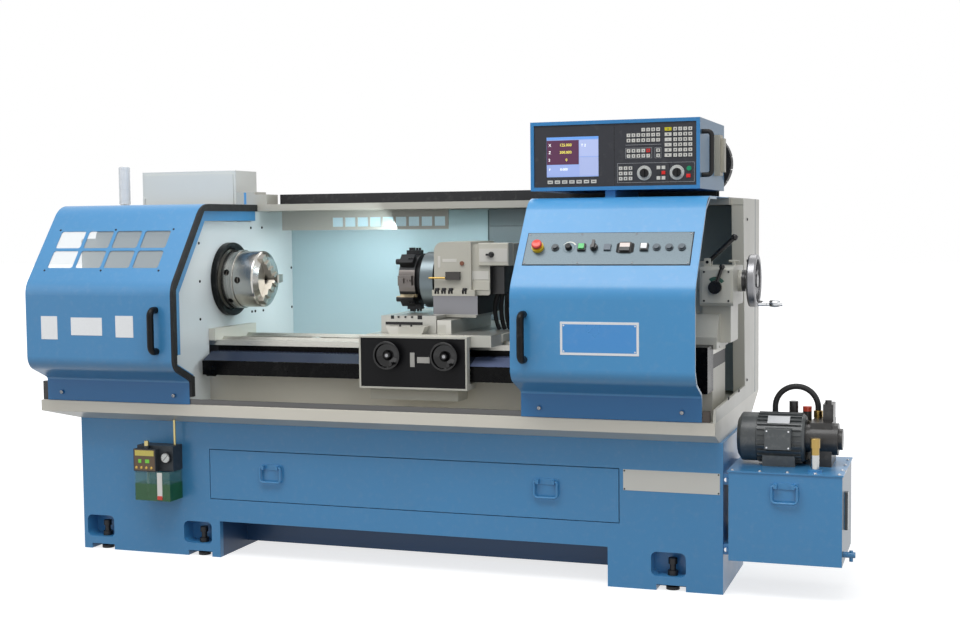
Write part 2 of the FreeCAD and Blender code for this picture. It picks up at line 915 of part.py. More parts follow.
# ---------------------------------------------------------------------------
# Chip tray with the guards' rail
# ---------------------------------------------------------------------------
def make_tray():
    outer = [
        (0, s.tray_top - s.tray_lip),
        (0, s.tray_top),
        (s.tray_depth, s.tray_top),
        (s.tray_depth, s.tray_top - 6),
        (s.tray_rear_knee, s.base_height),
        (s.base_front, s.base_height),
    ]
    inner = [
        (s.tray_wall + 8, s.tray_top + overcut),
        (s.tray_wall + 8, s.pan_floor + 32),
        (s.base_front + 8, s.pan_floor),
        (s.tray_rear_knee - 6, s.pan_floor),
        (s.tray_depth - s.tray_rear_slope, s.tray_top + overcut),
    ]
    wedge = [
        (-overcut, s.base_height - overcut),
        (-overcut, s.tray_top - s.tray_lip),
        (s.base_left, s.base_height),
        (s.base_left, s.base_height - overcut),
    ]
    body = prism("x", outer, 0, s.tray_length)
    hollow = prism("x", inner, s.tray_wall, s.tray_length - 2 * s.tray_wall)
    tray = cut(body, hollow, prism("y", wedge, -overcut, s.tray_depth + 2 * overcut))
    rail = block((s.left_guard_left, s.rail_back, s.tray_top),
                 (s.end_frame_left - s.left_guard_left, s.rail_thickness, s.rail_height))
    left_stop = block((s.left_guard_left - s.stop_length, s.rail_back, s.tray_top),
                      (s.stop_length, s.rail_thickness + 12, s.left_stop_height))
    right_stop = block((s.end_frame_left, s.rail_back, s.tray_top),
                       (s.stop_length, s.rail_thickness + 12, s.right_stop_height))
    piece("chip_tray", fuse(tray, rail, left_stop, right_stop))


# ---------------------------------------------------------------------------
# Bed and the cover over its lead screw
# ---------------------------------------------------------------------------
def make_bed():
    web_front = s.bed_front + s.way_overhang
    web_back = bed_back - s.way_overhang
    low = s.bed_top - s.way_height
    section = [
        (web_front, s.pan_floor),
        (web_front, low),
        (s.bed_front, low),
        (s.bed_front, s.bed_top),
        (vee_front - s.vee_half_width, s.bed_top),
        (vee_front, s.bed_top + s.vee_height),
        (vee_front + s.vee_half_width, s.bed_top),
        (vee_back - s.vee_half_width, s.bed_top),
        (vee_back, s.bed_top + s.vee_height),
        (vee_back + s.vee_half_width, s.bed_top),
        (bed_back, s.bed_top),
        (bed_back, low),
        (web_back, low),
        (web_back, s.pan_floor),
    ]
    body = prism("x", section, s.headstock_left, s.bed_right - s.headstock_left)
    count = int(s.bed_rib_count)
    open_left = s.screw_cover_left + 40
    pitch = (s.bed_right - open_left) / s.bed_rib_count
    windows = []
    for i in range(count):
        window = block((open_left + i * pitch, s.bed_front + s.way_width, s.bed_channel_bottom),
                       (pitch - s.bed_rib, s.bed_width - 2 * s.way_width, s.bed_top))
        windows.append(window)
    piece("bed", cut(body, *windows))


def make_screw_cover():
    line = [
        (s.screw_cover_front + s.screw_cover_return, s.screw_cover_bottom),
        (s.screw_cover_front, s.screw_cover_bottom),
        (s.screw_cover_front, s.screw_cover_edge),
        (s.screw_cover_shoulder, s.screw_cover_top),
        (s.bed_front + s.way_overhang - s.screw_cover_sheet, s.screw_cover_top),
        (s.bed_front + s.way_overhang - s.screw_cover_sheet, s.bed_top - s.way_height),
    ]
    length = s.bed_right - s.screw_cover_left
    fold = bent_sheet(line, s.screw_cover_sheet, s.screw_cover_left, length)
    cap = prism("x", [
        (s.screw_cover_front + 3, s.screw_cover_bottom + 3),
        (s.screw_cover_front + 3, s.screw_cover_edge - 2),
        (s.screw_cover_shoulder, s.screw_cover_top - 3),
        (s.bed_front + s.way_overhang, s.screw_cover_top - 3),
        (s.bed_front + s.way_overhang, s.screw_cover_bottom + 3),
    ], s.screw_cover_left, 6)
    foot = rod((s.screw_cover_left + 4, s.screw_cover_front + 34, s.screw_cover_bottom + 8), "x", 18, 36)
    end_box = block((s.bed_right - 62, s.screw_cover_front - 12, s.screw_cover_bottom - 20),
                    (70, s.bed_front - s.screw_cover_front - 8, s.bed_top - s.screw_cover_bottom + 38))
    piece("screw_cover", fuse(fold, cap, foot, end_box))


# ---------------------------------------------------------------------------
# Headstock, spindle, chuck and the wall they pass through
# ---------------------------------------------------------------------------
def make_headstock():
    front = s.spindle_y - s.headstock_width / 2
    back = s.spindle_y + s.headstock_width / 2
    step = s.bed_top + s.headstock_step_height
    section = [
        (front - 6, s.bed_top),
        (front - 6, step),
        (front, step),
        (front, s.headstock_top, s.headstock_corner),
        (back, s.headstock_top, s.headstock_corner),
        (back, step),
        (back + 6, step),
        (back + 6, s.bed_top),
    ]
    casting = prism("x", section, s.headstock_left, s.headstock_length)
    foot = block((s.headstock_left, front - 6, s.bed_top),
                 (s.screw_cover_left + 4 - s.headstock_left, back - front + 12, s.headstock_step_height))
    cover = prism("x", round_rectangle(s.spindle_y - s.belt_cover_width / 2, s.belt_cover_bottom,
                                       s.belt_cover_width, s.belt_cover_top - s.belt_cover_bottom, 12),
                  s.headstock_left - s.belt_cover_length, s.belt_cover_length)
    lid = block((s.headstock_left + 60, front + 50, s.headstock_top),
                (s.headstock_length - 120, s.headstock_width - 100, 14))
    bore = rod((0, s.spindle_y, s.spindle_z), "x", s.journal_radius + s.running_gap, s.wall_right + 100)
    chamber = rod((s.headstock_left + s.bearing_length, s.spindle_y, s.spindle_z), "x",
                  s.chamber_radius, s.headstock_length - 2 * s.bearing_length)
    tools = [bore, chamber] + vee_grooves(s.saddle_gap)
    piece("headstock", cut(fuse(casting, foot, cover, lid), *tools))


def make_guard_ring():
    corners = [
        (0, s.guard_ring_inner),
        (0, s.guard_ring_outer),
        (s.guard_ring_depth, s.guard_ring_outer, 3),
        (s.guard_ring_depth, s.guard_ring_outer - 12),
        (s.guard_ring_depth - 8, s.guard_ring_inner),
    ]
    piece("chuck_guard_ring", turned("x", corners, (s.wall_right, s.spindle_y, s.spindle_z)))


def make_spindle():
    left = s.headstock_left - s.belt_cover_length - 12
    corners = [
        (left, s.spindle_bore),
        (left, s.journal_radius - 17),
        (left + 42, s.journal_radius - 17),
        (left + 42, s.journal_radius),
        (nose_left, s.journal_radius),
        (nose_left, s.nose_radius, 2),
        (chuck_back, s.nose_radius, 2),
        (chuck_back, s.spindle_bore),
    ]
    sockets = []
    step = WHOLE_TURN / s.cam_socket_count
    for i in range(int(s.cam_socket_count)):
        sockets.append(radial_rod(nose_left + s.nose_length / 2, 165 + i * step,
                                  s.nose_radius - s.cam_socket_depth, s.nose_radius + overcut,
                                  s.cam_socket_radius))
    piece("spindle", cut(turned("x", corners, spindle_line), *sockets))


def make_chuck():
    body = turned("x", [
        (0, s.spindle_bore),
        (0, s.chuck_radius, 1.5),
        (s.chuck_length - s.chuck_chamfer_length, s.chuck_radius, 10),
        (s.chuck_length, s.chuck_radius - s.chuck_chamfer),
        (s.chuck_length, s.spindle_bore),
    ])
    document.recompute()
    slot_sketch = new_sketch(body, "YZ_Plane", s.chuck_length - s.jaw_seat)
    half = s.jaw_width / 2 + s.jaw_gap / 2
    outline(slot_sketch, [(0, -half), (s.chuck_radius + 5, -half), (s.chuck_radius + 5, half), (0, half)])
    slot = body.newObject("PartDesign::Pocket", "JawSlot")
    slot.Profile = slot_sketch
    slot.Reversed = True
    bind(slot, "Length", s.jaw_seat + overcut)
    turn_axis = [feature for feature in body.Origin.OriginFeatures if feature.Role == "X_Axis"][0]
    slots = body.newObject("PartDesign::PolarPattern", "JawSlots")
    slots.Originals = [slot]
    slots.Axis = (turn_axis, [""])
    slots.Angle = WHOLE_TURN
    slots.Occurrences = int(s.jaw_count)
    body.Tip = slots
    document.recompute()
    socket_sketch = new_sketch(body, "XZ_Plane", s.chuck_radius + overcut)
    circle = Part.Circle(FreeCAD.Vector(float(s.key_socket_inset), 0, 0), FreeCAD.Vector(0, 0, 1),
                         float(s.key_socket_radius))
    index = socket_sketch.addGeometry(circle, False)
    place_rules = [("Radius", (index,), s.key_socket_radius),
                   ("DistanceX", (-1, 1, index, 3), s.key_socket_inset),
                   ("DistanceY", (-1, 1, index, 3), 0)]
    for kind, where, value in place_rules:
        rule = socket_sketch.addConstraint(Sketcher.Constraint(kind, *where, float(value)))
        socket_sketch.setExpression("Constraints[%d]" % rule, formula_of(value))
    socket = body.newObject("PartDesign::Pocket", "KeySocket")
    socket.Profile = socket_sketch
    bind(socket, "Length", s.key_socket_depth + overcut)
    sockets = body.newObject("PartDesign::PolarPattern", "KeySockets")
    sockets.Originals = [socket]
    sockets.Axis = (turn_axis, [""])
    sockets.Angle = WHOLE_TURN
    sockets.Occurrences = int(s.jaw_count)
    body.Tip = sockets
    document.recompute()
    start_at(body, (chuck_back, s.spindle_y, s.spindle_z))
    piece("chuck_body", body)


def make_jaws():
    tip = 3 * s.jaw_step_length
    levels = [s.jaw_inner + (i + 0.55) * s.jaw_step_height for i in range(4)]
    steps = [
        (-s.jaw_seat + s.jaw_gap, s.jaw_inner),
        (-s.jaw_seat + s.jaw_gap, levels[3]),
        (s.jaw_step_length * 0.8, levels[3]),
        (s.jaw_step_length * 0.8, levels[2]),
        (s.jaw_step_length * 1.6, levels[2]),
        (s.jaw_step_length * 1.6, levels[1]),
        (s.jaw_step_length * 2.3, levels[1]),
        (s.jaw_step_length * 2.3, levels[0]),
        (tip, levels[0]),
        (tip, s.jaw_inner + 5),
        (tip - 5, s.jaw_inner),
    ]
    spread = WHOLE_TURN / s.jaw_count
    for i in range(int(s.jaw_count)):
        jaw = prism("y", steps, -s.jaw_width / 2, s.jaw_width)
        tilt(jaw, (1, 0, 0), i * spread - 90)
        start_at(jaw, (chuck_face, s.spindle_y, s.spindle_z))
        piece("chuck_jaw_%d" % (i + 1), jaw)


def make_wall():
    upper = s.return_upper + s.wall_seal_gap
    lower = s.return_lower + s.wall_seal_gap
    front_inner = s.guard_front + upper
    section = [
        (s.guard_skirt + lower, s.pan_floor + 30),
        (s.guard_skirt + lower, s.guard_skirt_top + lower * tangent(s.flare_half_turn)),
        (s.guard_front + lower, s.guard_belly + lower * tangent(s.flare_half_turn)),
        (s.guard_front + lower, s.return_step - s.wall_seal_gap),
        (front_inner, s.return_step - s.wall_seal_gap),
        (front_inner, s.guard_knee - upper * tangent(knee_half)),
        (s.guard_front + slope_run + upper * tangent(s.guard_slope / 2), s.guard_top - upper),
        (s.roof_front + 4, s.guard_top - upper),
        (s.roof_front + 4, roof_bottom),
        (s.tray_depth, roof_bottom),
        (s.tray_depth, s.tray_top),
        (s.tray_depth - s.tray_rear_slope - 8, s.tray_top),
        (s.tray_rear_knee - 8, s.pan_floor + 0.3),
        (s.base_front + 12, s.pan_floor + 0.3),
    ]
    plate = prism("x", section, s.wall_right - s.wall_sheet, s.wall_sheet)
    hole = rod((0, s.spindle_y, s.spindle_z), "x", s.guard_ring_inner, s.tray_length)
    half = s.headstock_width / 2 + 6 + 0.3
    doorway = block((0, s.spindle_y - half, 0),
                    (s.tray_length, half * 2, s.bed_top + s.headstock_step_height + 0.3))
    piece("headstock_wall", cut(plate, hole, doorway))


# ---------------------------------------------------------------------------
# Sliding guards
# ---------------------------------------------------------------------------
def guard_ring(x, thickness, upper, lower):
    """A flat ring just inside the guards' section, wider above the step than below it."""
    fold = tangent(s.flare_half_turn)
    inner = [
        (s.guard_back, s.guard_top - upper),
        (s.guard_front + slope_run + upper * tangent(s.guard_slope / 2), s.guard_top - upper),
        (s.guard_front + upper, s.guard_knee - upper * tangent(knee_half)),
        (s.guard_front + upper, s.return_step),
        (s.guard_front + lower, s.return_step),
        (s.guard_front + lower, s.guard_belly + lower * fold),
        (s.guard_skirt + lower, s.guard_skirt_top + lower * fold),
        (s.guard_skirt + lower, s.return_bottom),
    ]
    return prism("x", guard_line((s.guard_skirt, s.return_bottom)) + inner, x, thickness)


def guard_rollers(left):
    """The wheels that carry a guard on the tray's rail, with their bolt heads outside."""
    level = rail_top + s.saddle_gap + s.roller_radius
    parts = []
    for x in (left + s.roller_inset, left + s.guard_length - s.roller_inset):
        inside = s.guard_skirt + s.guard_sheet
        parts.append(rod((x, inside, level), "y", s.roller_radius, s.roller_width))
        parts.append(rod((x, s.guard_skirt - 5, level), "y", s.roller_head, 6))
    return parts


def guard_shell(left):
    return bent_sheet(guard_line((s.guard_skirt, s.guard_skirt_bottom)), s.guard_sheet, left, s.guard_length)


def grip(x):
    """A tubular pull handle standing off a guard's upright face."""
    out = s.guard_front - s.grip_standoff
    top = s.grip_bottom + s.grip_height
    corners = [
        (s.guard_front, s.grip_bottom),
        (out, s.grip_bottom, s.grip_bend),
        (out, top, s.grip_bend),
        (s.guard_front, top),
    ]
    return bent_rod("x", corners, s.grip_radius, x)


def make_left_door():
    windows = []
    for row in range(int(s.window_rows)):
        for column in range(int(s.window_columns)):
            mouth = round_rectangle(s.window_left + column * s.window_pitch,
                                    s.window_bottom + row * s.window_row_pitch,
                                    s.window_width, s.window_height, s.window_radius)
            windows.append(on_slope(prism("z", mouth, -20, 40)))
    ring = guard_ring(left_guard_right - s.return_sheet, s.return_sheet, s.return_upper, s.return_lower)
    shell = cut(guard_shell(s.left_guard_left), *windows)
    piece("left_door", fuse(shell, ring, *guard_rollers(s.left_guard_left)))
    seal = guard_ring(left_guard_right, s.seal_thickness, s.seal_width, s.seal_width - 4)
    piece("left_door_seal", seal)
    length = (s.window_columns - 1) * s.window_pitch + s.window_width + 2 * s.pane_margin
    height = (s.window_rows - 1) * s.window_row_pitch + s.window_height + 2 * s.pane_margin
    pane = block((0, 0, 0), (length, height, s.pane_thickness))
    sunk = s.guard_sheet + s.pane_thickness
    tilt(pane, (1, 0, 0), s.guard_slope)
    along = s.window_bottom - s.pane_margin
    start_at(pane, (s.window_left - s.pane_margin,
                    s.guard_front + along * cosine(s.guard_slope) + sunk * sine(s.guard_slope),
                    s.guard_knee + along * sine(s.guard_slope) - sunk * cosine(s.guard_slope)))
    piece("left_door_window", pane)
    piece("left_door_handle", grip(s.left_grip_x))


def make_right_door():
    ring = guard_ring(s.right_guard_left, s.return_sheet, s.right_return_upper, s.right_return_lower)
    piece("right_door", fuse(guard_shell(s.right_guard_left), ring, *guard_rollers(s.right_guard_left)))
    piece("right_door_handle", grip(s.right_grip_x))


# ---------------------------------------------------------------------------
# Roof, rear guard, end wall and work lamp
# ---------------------------------------------------------------------------
def make_roof():
    right = s.end_frame_left
    depth = s.tray_depth - s.roof_front
    beam = block((s.roof_left, s.roof_front, roof_bottom), (right - s.roof_left, depth, s.roof_thickness))
    hollows = []
    for front, back in ((s.roof_front + s.roof_sheet, s.visor_y - 12),
                        (s.visor_y + 70, s.tray_depth - s.roof_sheet)):
        hollows.append(block((s.wall_right + 1, front, roof_bottom - overcut),
                             (right - s.wall_right - 4, back - front,
                              s.roof_thickness - s.roof_sheet + overcut)))
    first = block((s.roof_block_left, s.roof_front, s.roof_top),
                  (s.roof_block_length, 110, s.roof_block_height))
    second = block((s.roof_block_left + s.roof_block_length, s.roof_front, s.roof_top),
                   (s.roof_step_length, 110, s.roof_step_height))
    piece("roof_beam", fuse(cut(beam, *hollows), first, second))


def make_rear_guard():
    back = rear_panel_y + s.rear_sheet
    section = [
        (rear_panel_y, s.tray_top),
        (s.tray_depth, s.tray_top),
        (s.tray_depth, s.tray_top + s.rear_sheet),
        (back, s.tray_top + s.rear_sheet),
        (back, roof_bottom - s.rear_sheet),
        (s.tray_depth, roof_bottom - s.rear_sheet),
        (s.tray_depth, roof_bottom),
        (rear_panel_y, roof_bottom),
    ]
    length = s.end_frame_left - s.wall_right
    panel = prism("x", section, s.wall_right, length)
    ribs = []
    pitch = length / s.rear_rib_count
    for i in range(int(s.rear_rib_count)):
        ribs.append(block((s.wall_right + (i + 0.5) * pitch, rear_panel_y + 1, s.tray_top + 1),
                          (s.rear_rib_depth, s.rear_rib_depth, roof_bottom - s.tray_top - 2)))
    piece("rear_guard", fuse(panel, *ribs))


def make_end_wall():
    right = s.end_frame_left + s.end_frame_width
    sheet_left = right - s.end_sheet
    lower = s.tray_top + s.rail_thickness + s.end_frame_width
    sheet_line = [
        (12, s.tray_top),
        (24, lower - 10),
        (s.end_front_bottom, lower),
        (s.end_front_top, s.roof_top - 4),
        (s.tray_depth, s.roof_top - 4),
        (s.tray_depth, s.tray_top),
    ]
    post = prism("x", [
        (s.end_front_bottom, lower),
        (s.end_front_top, s.roof_top - 4),
        (s.end_front_top + s.end_post, s.roof_top - 4),
        (s.end_front_bottom + s.end_post, lower),
    ], s.end_frame_left, s.end_frame_width)
    head = block((s.end_frame_left, s.end_front_top, roof_bottom),
                 (s.end_frame_width, s.tray_depth - s.end_front_top, s.roof_thickness - 4))
    back = block((s.end_frame_left, rear_panel_y, s.tray_top),
                 (s.end_frame_width, s.rear_sheet, roof_bottom - s.tray_top + 1))
    foot = block((s.end_frame_left, s.end_front_bottom, s.tray_top),
                 (s.end_frame_width, s.end_post, lower - s.tray_top + 1))
    wall = prism("x", sheet_line, sheet_left, s.end_sheet)
    piece("end_wall", fuse(wall, post, head, back, foot))


def make_lamp():
    visor = block((s.visor_left, s.visor_y, s.visor_bottom),
                  (s.visor_length, s.rear_sheet, roof_bottom - s.visor_bottom))
    holes = []
    for i in range(int(s.visor_window_count)):
        holes.append(block((s.visor_window_left + i * s.visor_window_pitch, s.visor_y - overcut,
                            s.visor_window_bottom),
                           (s.visor_window_width, s.rear_sheet + overcut, s.visor_window_height)))
    lamp = block((s.visor_left + 40, s.visor_y + s.rear_sheet, s.visor_bottom + 8),
                 (s.visor_length - 60, s.lamp_depth, roof_bottom - s.visor_bottom - 8))
    piece("work_lamp", fuse(cut(visor, *holes), lamp))


# ---------------------------------------------------------------------------
# Electrical cabinet, beacon, cable channel and drag chain
# ---------------------------------------------------------------------------
def make_cabinet():
    body = block((s.cabinet_left, s.cabinet_front, s.pan_floor),
                 (s.cabinet_length, s.cabinet_depth, s.cabinet_top - s.pan_floor))
    door = block((s.cabinet_left + 12, s.cabinet_front - 4, s.tray_top + 20),
                 (s.cabinet_length - 24, 5, s.cabinet_top - s.tray_top - 34))
    hinges = []
    for z in (s.tray_top + 120, s.cabinet_top - 180):
        hinges.append(rod((s.cabinet_left + 10, s.cabinet_front - 6, z), "z", 6, 60))
    lock = rod((s.cabinet_left + s.cabinet_length - 40, s.cabinet_front - 12, s.cabinet_top - 220),
               "y", 13, 10)
    piece("electrical_cabinet", fuse(body, door, lock, *hinges))


def make_beacon():
    plate = block((s.beacon_x - 26, s.beacon_y - 26, s.beacon_foot),
                  (s.cabinet_left + 37 - s.beacon_x, s.cabinet_front - s.beacon_y + 26, 6))
    lip = block((s.cabinet_left, s.cabinet_front - 4, s.beacon_foot - 40), (11, 4, 42))
    step = (s.beacon_top - s.beacon_base_top - 10) / 3
    corners = [
        (s.beacon_foot, 0),
        (s.beacon_foot, 22),
        (s.beacon_foot + 14, 22),
        (s.beacon_foot + 14, s.beacon_pole),
        (s.beacon_base_top - 26, s.beacon_pole),
        (s.beacon_base_top - 16, s.beacon_radius),
    ]
    for i in range(3):
        low = s.beacon_base_top + i * step
        corners += [(low, s.beacon_radius), (low, s.beacon_radius - 2)]
        corners += [(low + 3, s.beacon_radius - 2), (low + 3, s.beacon_radius)]
    corners += [(s.beacon_top - 4, s.beacon_radius), (s.beacon_top, s.beacon_radius - 6), (s.beacon_top, 0)]
    piece("beacon", fuse(plate, lip, turned("z", corners, (s.beacon_x, s.beacon_y, 0))))


def make_cable_track():
    left = s.channel_y
    right = s.channel_y + s.channel_width
    top = s.roof_top + s.channel_height
    floor_top = s.roof_top + s.channel_sheet
    section = [
        (left, s.roof_top),
        (right, s.roof_top),
        (right, top),
        (right - s.channel_sheet, top),
        (right - s.channel_sheet, floor_top),
        (left + s.channel_sheet, floor_top),
        (left + s.channel_sheet, top),
        (left, top),
    ]
    piece("cable_track", prism("x", section, s.channel_left, s.channel_length))


def chain_band(height, width, trim):
    """The chain's path as a bar: along the channel, round the loop and back over the top."""
    half = height / 2
    reach = s.chain_loop_radius
    right = s.chain_loop_x + reach
    upper = chain_level + 2 * reach
    left = s.chain_left + trim
    end = s.chain_loop_x - s.chain_upper_run + trim
    corners = [
        (left, chain_level - half),
        (right + half, chain_level - half, reach + half - 0.5),
        (right + half, upper + half, reach + half - 0.5),
        (end, upper + half),
        (end, upper - half),
        (right - half, upper - half, reach - half - 0.5),
        (right - half, chain_level + half, reach - half - 0.5),
        (left, chain_level + half),
    ]
    return prism("y", corners, chain_y - width / 2, width)


def chain_gaps():
    """Thin cross slots between the chain's links."""
    gap = 3
    wide = s.link_width + 10
    tall = s.link_height + 8
    gaps = []
    count = int((s.chain_loop_x - s.chain_left) / s.link_length)
    for i in range(1, count + 1):
        x = s.chain_left + i * s.link_length
        gaps.append(block((x, chain_y - wide / 2, chain_level - tall / 2), (gap, wide, tall)))
    for i in range(int(s.chain_upper_run / s.link_length)):
        x = s.chain_loop_x - i * s.link_length - 8
        level = chain_level + 2 * s.chain_loop_radius
        gaps.append(block((x, chain_y - wide / 2, level - tall / 2), (gap, wide, tall)))
    turns = 8
    for i in range(turns):
        angle = 180 / turns * (i + 0.5) - 90
        blade = block((0, 0, 0), (tall, wide, gap))
        tilt(blade, (0, 1, 0), 0 - angle)
        inner = s.chain_loop_radius - tall / 2
        x = s.chain_loop_x + inner * cosine(angle)
        z = chain_level + s.chain_loop_radius + inner * sine(angle)
        start_at(blade, (x, chain_y - wide / 2, z))
        gaps.append(blade)
    return gaps


def make_drag_chain():
    links = cut(chain_band(s.link_height, s.link_width, 0), *chain_gaps())
    core = chain_band(s.link_height - 12, s.link_width - 12, 4)
    end = s.chain_loop_x - s.chain_upper_run
    upper = chain_level + 2 * s.chain_loop_radius
    back = s.control_front + s.control_depth
    clip = block((end - 40, back, upper - s.link_height / 2), (46, chain_y + 27 - back, s.link_height))
    piece("drag_chain", fuse(links, core, clip))


# ---------------------------------------------------------------------------
# Carriage: saddle, apron and handwheels
# ---------------------------------------------------------------------------
def dovetail(wider, base, top):
    """The dovetail's section across X; a wider one cuts the matching slot."""
    half = s.dovetail_bottom_width / 2 + wider
    return [
        (s.dovetail_x - half, base),
        (s.dovetail_x - half - s.dovetail_flare, top),
        (s.dovetail_x + half + s.dovetail_flare, top),
        (s.dovetail_x + half, base),
    ]


def make_saddle():
    under = s.bed_top + s.saddle_gap
    thick = s.saddle_top - under
    slab = block((s.saddle_left, s.saddle_front, under), (s.saddle_length, s.saddle_depth, thick))
    bridge = block((s.saddle_left + 30, s.saddle_front + s.saddle_depth - overcut, under),
                   (s.cross_length + 120, s.saddle_bridge_depth + overcut, thick))
    ways = prism("y", dovetail(0, s.saddle_top - overcut, s.saddle_top + s.dovetail_height),
                 s.dovetail_front, s.saddle_front + s.saddle_depth + s.saddle_bridge_depth
                 - 10 - s.dovetail_front)
    rail = block((s.rail_cover_x, s.saddle_front + 60, s.saddle_top - overcut),
                 (s.rail_cover_width, s.saddle_depth - 60, s.rail_cover_height + overcut))
    wipers = []
    for x in (s.saddle_left - 8, s.saddle_left + s.saddle_length):
        wipers.append(block((x, s.bed_front + 6, under + 14), (8, s.bed_width - 12, thick - 18)))
    piece("saddle", fuse(cut(slab, *vee_grooves(s.saddle_gap)), bridge, ways, rail, *wipers))


def make_apron():
    depth = s.saddle_front - s.apron_front
    plate = block((s.apron_left, s.apron_front, s.apron_bottom),
                  (s.apron_length, s.apron_plate, s.apron_top - s.apron_bottom))
    head = block((s.apron_left, s.apron_front, s.bed_top), (s.apron_length, depth, s.apron_top - s.bed_top))
    toe = block((s.apron_left, s.apron_front, s.apron_bottom), (s.apron_length, depth + 50, 23))
    bracket = block((s.apron_left + 26, s.saddle_front, s.apron_bottom - s.apron_bracket_height),
                    (s.apron_length - 82, 110, s.apron_bracket_height + overcut))
    recess = block((s.apron_left + s.apron_frame, s.apron_front - overcut, s.apron_bottom + s.apron_frame),
                   (s.apron_length - 2 * s.apron_frame, 3 + overcut,
                    s.apron_top - s.apron_bottom - 2 * s.apron_frame))
    bores = []
    for x in (s.left_wheel_x, s.right_wheel_x):
        bores.append(rod((x, s.apron_front - overcut, s.apron_wheel_z), "y", 8 + s.running_gap, 24))
    piece("apron", cut(fuse(plate, head, toe, bracket), recess, *bores))


def make_apron_wheels():
    edge = s.apron_wheel_radius
    deep = s.apron_wheel_depth
    for label, x in (("left_handwheel", s.left_wheel_x), ("right_handwheel", s.right_wheel_x)):
        wheel = turned("y", [
            (20, 0),
            (20, 8),
            (-1, 8),
            (-1, edge * 0.5),
            (-deep * 0.5, edge, 2),
            (-deep, edge, 3),
            (-deep, edge - 8),
            (-deep * 0.65, edge - 12),
            (-deep * 0.4, edge * 0.38),
            (-deep * 0.8, 11),
            (-deep * 0.8, 0),
        ], (x, s.apron_front, s.apron_wheel_z))
        grip_rod = rod((x + edge * 0.5, s.apron_front - deep - 26, s.apron_wheel_z - edge * 0.55), "y", 7,
                       deep * 0.6 + 26)
        piece(label, fuse(wheel, grip_rod))


# ---------------------------------------------------------------------------
# Cross slide and turret
# ---------------------------------------------------------------------------
def make_cross_slide():
    under = s.saddle_top + s.saddle_gap
    slab = block((s.cross_left, s.cross_front, under), (s.cross_length, s.cross_depth, s.cross_top - under))
    ceiling = s.saddle_top + s.dovetail_height + s.saddle_gap
    slot = prism("y", dovetail(s.saddle_gap, under - overcut, ceiling),
                 s.cross_front - overcut, s.cross_depth + 2 * overcut)
    riser = block((s.riser_left, s.riser_front, s.cross_top - overcut),
                  (s.riser_length, s.riser_depth, s.riser_top - s.cross_top + overcut))
    shelf = block((s.cross_left + s.cross_length - 20, s.riser_front + 10, s.cross_top - 12),
                  (s.riser_left + s.riser_length - s.cross_left - s.cross_length + 10,
                   s.riser_depth - 20, 14))
    piece("cross_slide", fuse(cut(slab, slot), riser, shelf))


def make_turret_housing():
    left = s.riser_left + 5
    width = s.riser_length - 32
    body = prism("y", [
        (left, s.riser_top),
        (left + width, s.riser_top),
        (left + width, s.turret_top),
        (left, s.turret_top, s.turret_corner),
    ], s.riser_front, s.riser_depth)
    flange = block((s.riser_left, s.riser_front - 14, s.riser_top),
                   (s.riser_length - 7, s.riser_depth + 28, s.turret_foot))
    cover = prism("y", round_rectangle(left + width, s.riser_top + 2, s.gear_cover_width,
                                       s.turret_top - s.riser_top - 13, 10),
                  s.riser_front + 14, s.riser_depth - 28)
    gear_right = left + width + s.gear_cover_width
    servo = block((gear_right - 10, s.spindle_y - 48, s.riser_top + 122), (95, 112, 89))
    brake = block((gear_right - 2, s.spindle_y - 56, s.riser_top + 6), (50, 128, 112))
    catch = block((left + 54, s.riser_front - 14, s.spindle_z + 4), (61, 15, 33))
    plug = rod((left + 122, s.riser_front - 5, s.spindle_z + 71), "y", 9, 6)
    pipe = rod((left - 18, s.riser_front - 14, s.spindle_z + 12), "x", 4, 74)
    boss = rod((left - 4, s.spindle_y, s.spindle_z), "x", s.turret_shaft + 14, 6)
    bolts = []
    pockets = []
    for x in (left + 16, left + 45, left + 75, left + 135):
        bolts.append(rod((x, s.riser_front - 8, s.riser_top + 7), "z", 6, 12))
        pockets.append(block((x - 10, s.riser_front - 14 - overcut, s.riser_top + 8),
                             (20, 14, s.turret_foot)))
    foot = cut(flange, *pockets)
    bore = rod((left - 5, s.spindle_y, s.spindle_z), "x", s.turret_shaft + s.running_gap, 95)
    solid = fuse(body, foot, cover, servo, brake, catch, plug, pipe, boss, *bolts)
    piece("turret_housing", cut(solid, bore))


def make_turret_disc():
    face = s.turret_disc_left
    right = face + s.turret_disc_thickness
    hub_right = right + s.turret_hub_length
    core = turned("x", [
        (face - 6, 0),
        (face - 6, 46),
        (face, 46),
        (face, s.turret_disc_radius, 3),
        (right, s.turret_disc_radius, 3),
        (right, 84),
        (right + 26, 84),
        (right + 26, s.turret_hub_radius, 2),
        (hub_right, s.turret_hub_radius, 2),
        (hub_right, s.turret_shaft),
        (hub_right + 84, s.turret_shaft),
        (hub_right + 84, 0),
    ], spindle_line)
    holders = []
    pitch = WHOLE_TURN / s.turret_station_count
    for i in range(int(s.turret_station_count)):
        rise = s.turret_station_radius - 78
        if i % 2:
            holder = block((-30, -23, 0), (60, 46, rise))
            tool = rod((-52, 0, rise - 20), "x", 12, 30)
        else:
            holder = block((-30, -20, 0), (60, 40, rise - 6))
            tool = block((-22, -10, rise - 24), (20, 20, 29))
        screws = [rod((x, 0, rise - 8), "z", 5, 12) for x in (10, 22)]
        group = fuse(holder, tool, *screws)
        angle = i * pitch
        tilt(group, (1, 0, 0), angle - 90)
        y, z = polar((s.spindle_y, s.spindle_z), 78, angle)
        holders.append(start_at(group, (face + s.turret_disc_thickness / 2, y, z)))
    piece("turret_disc", fuse(core, *holders))


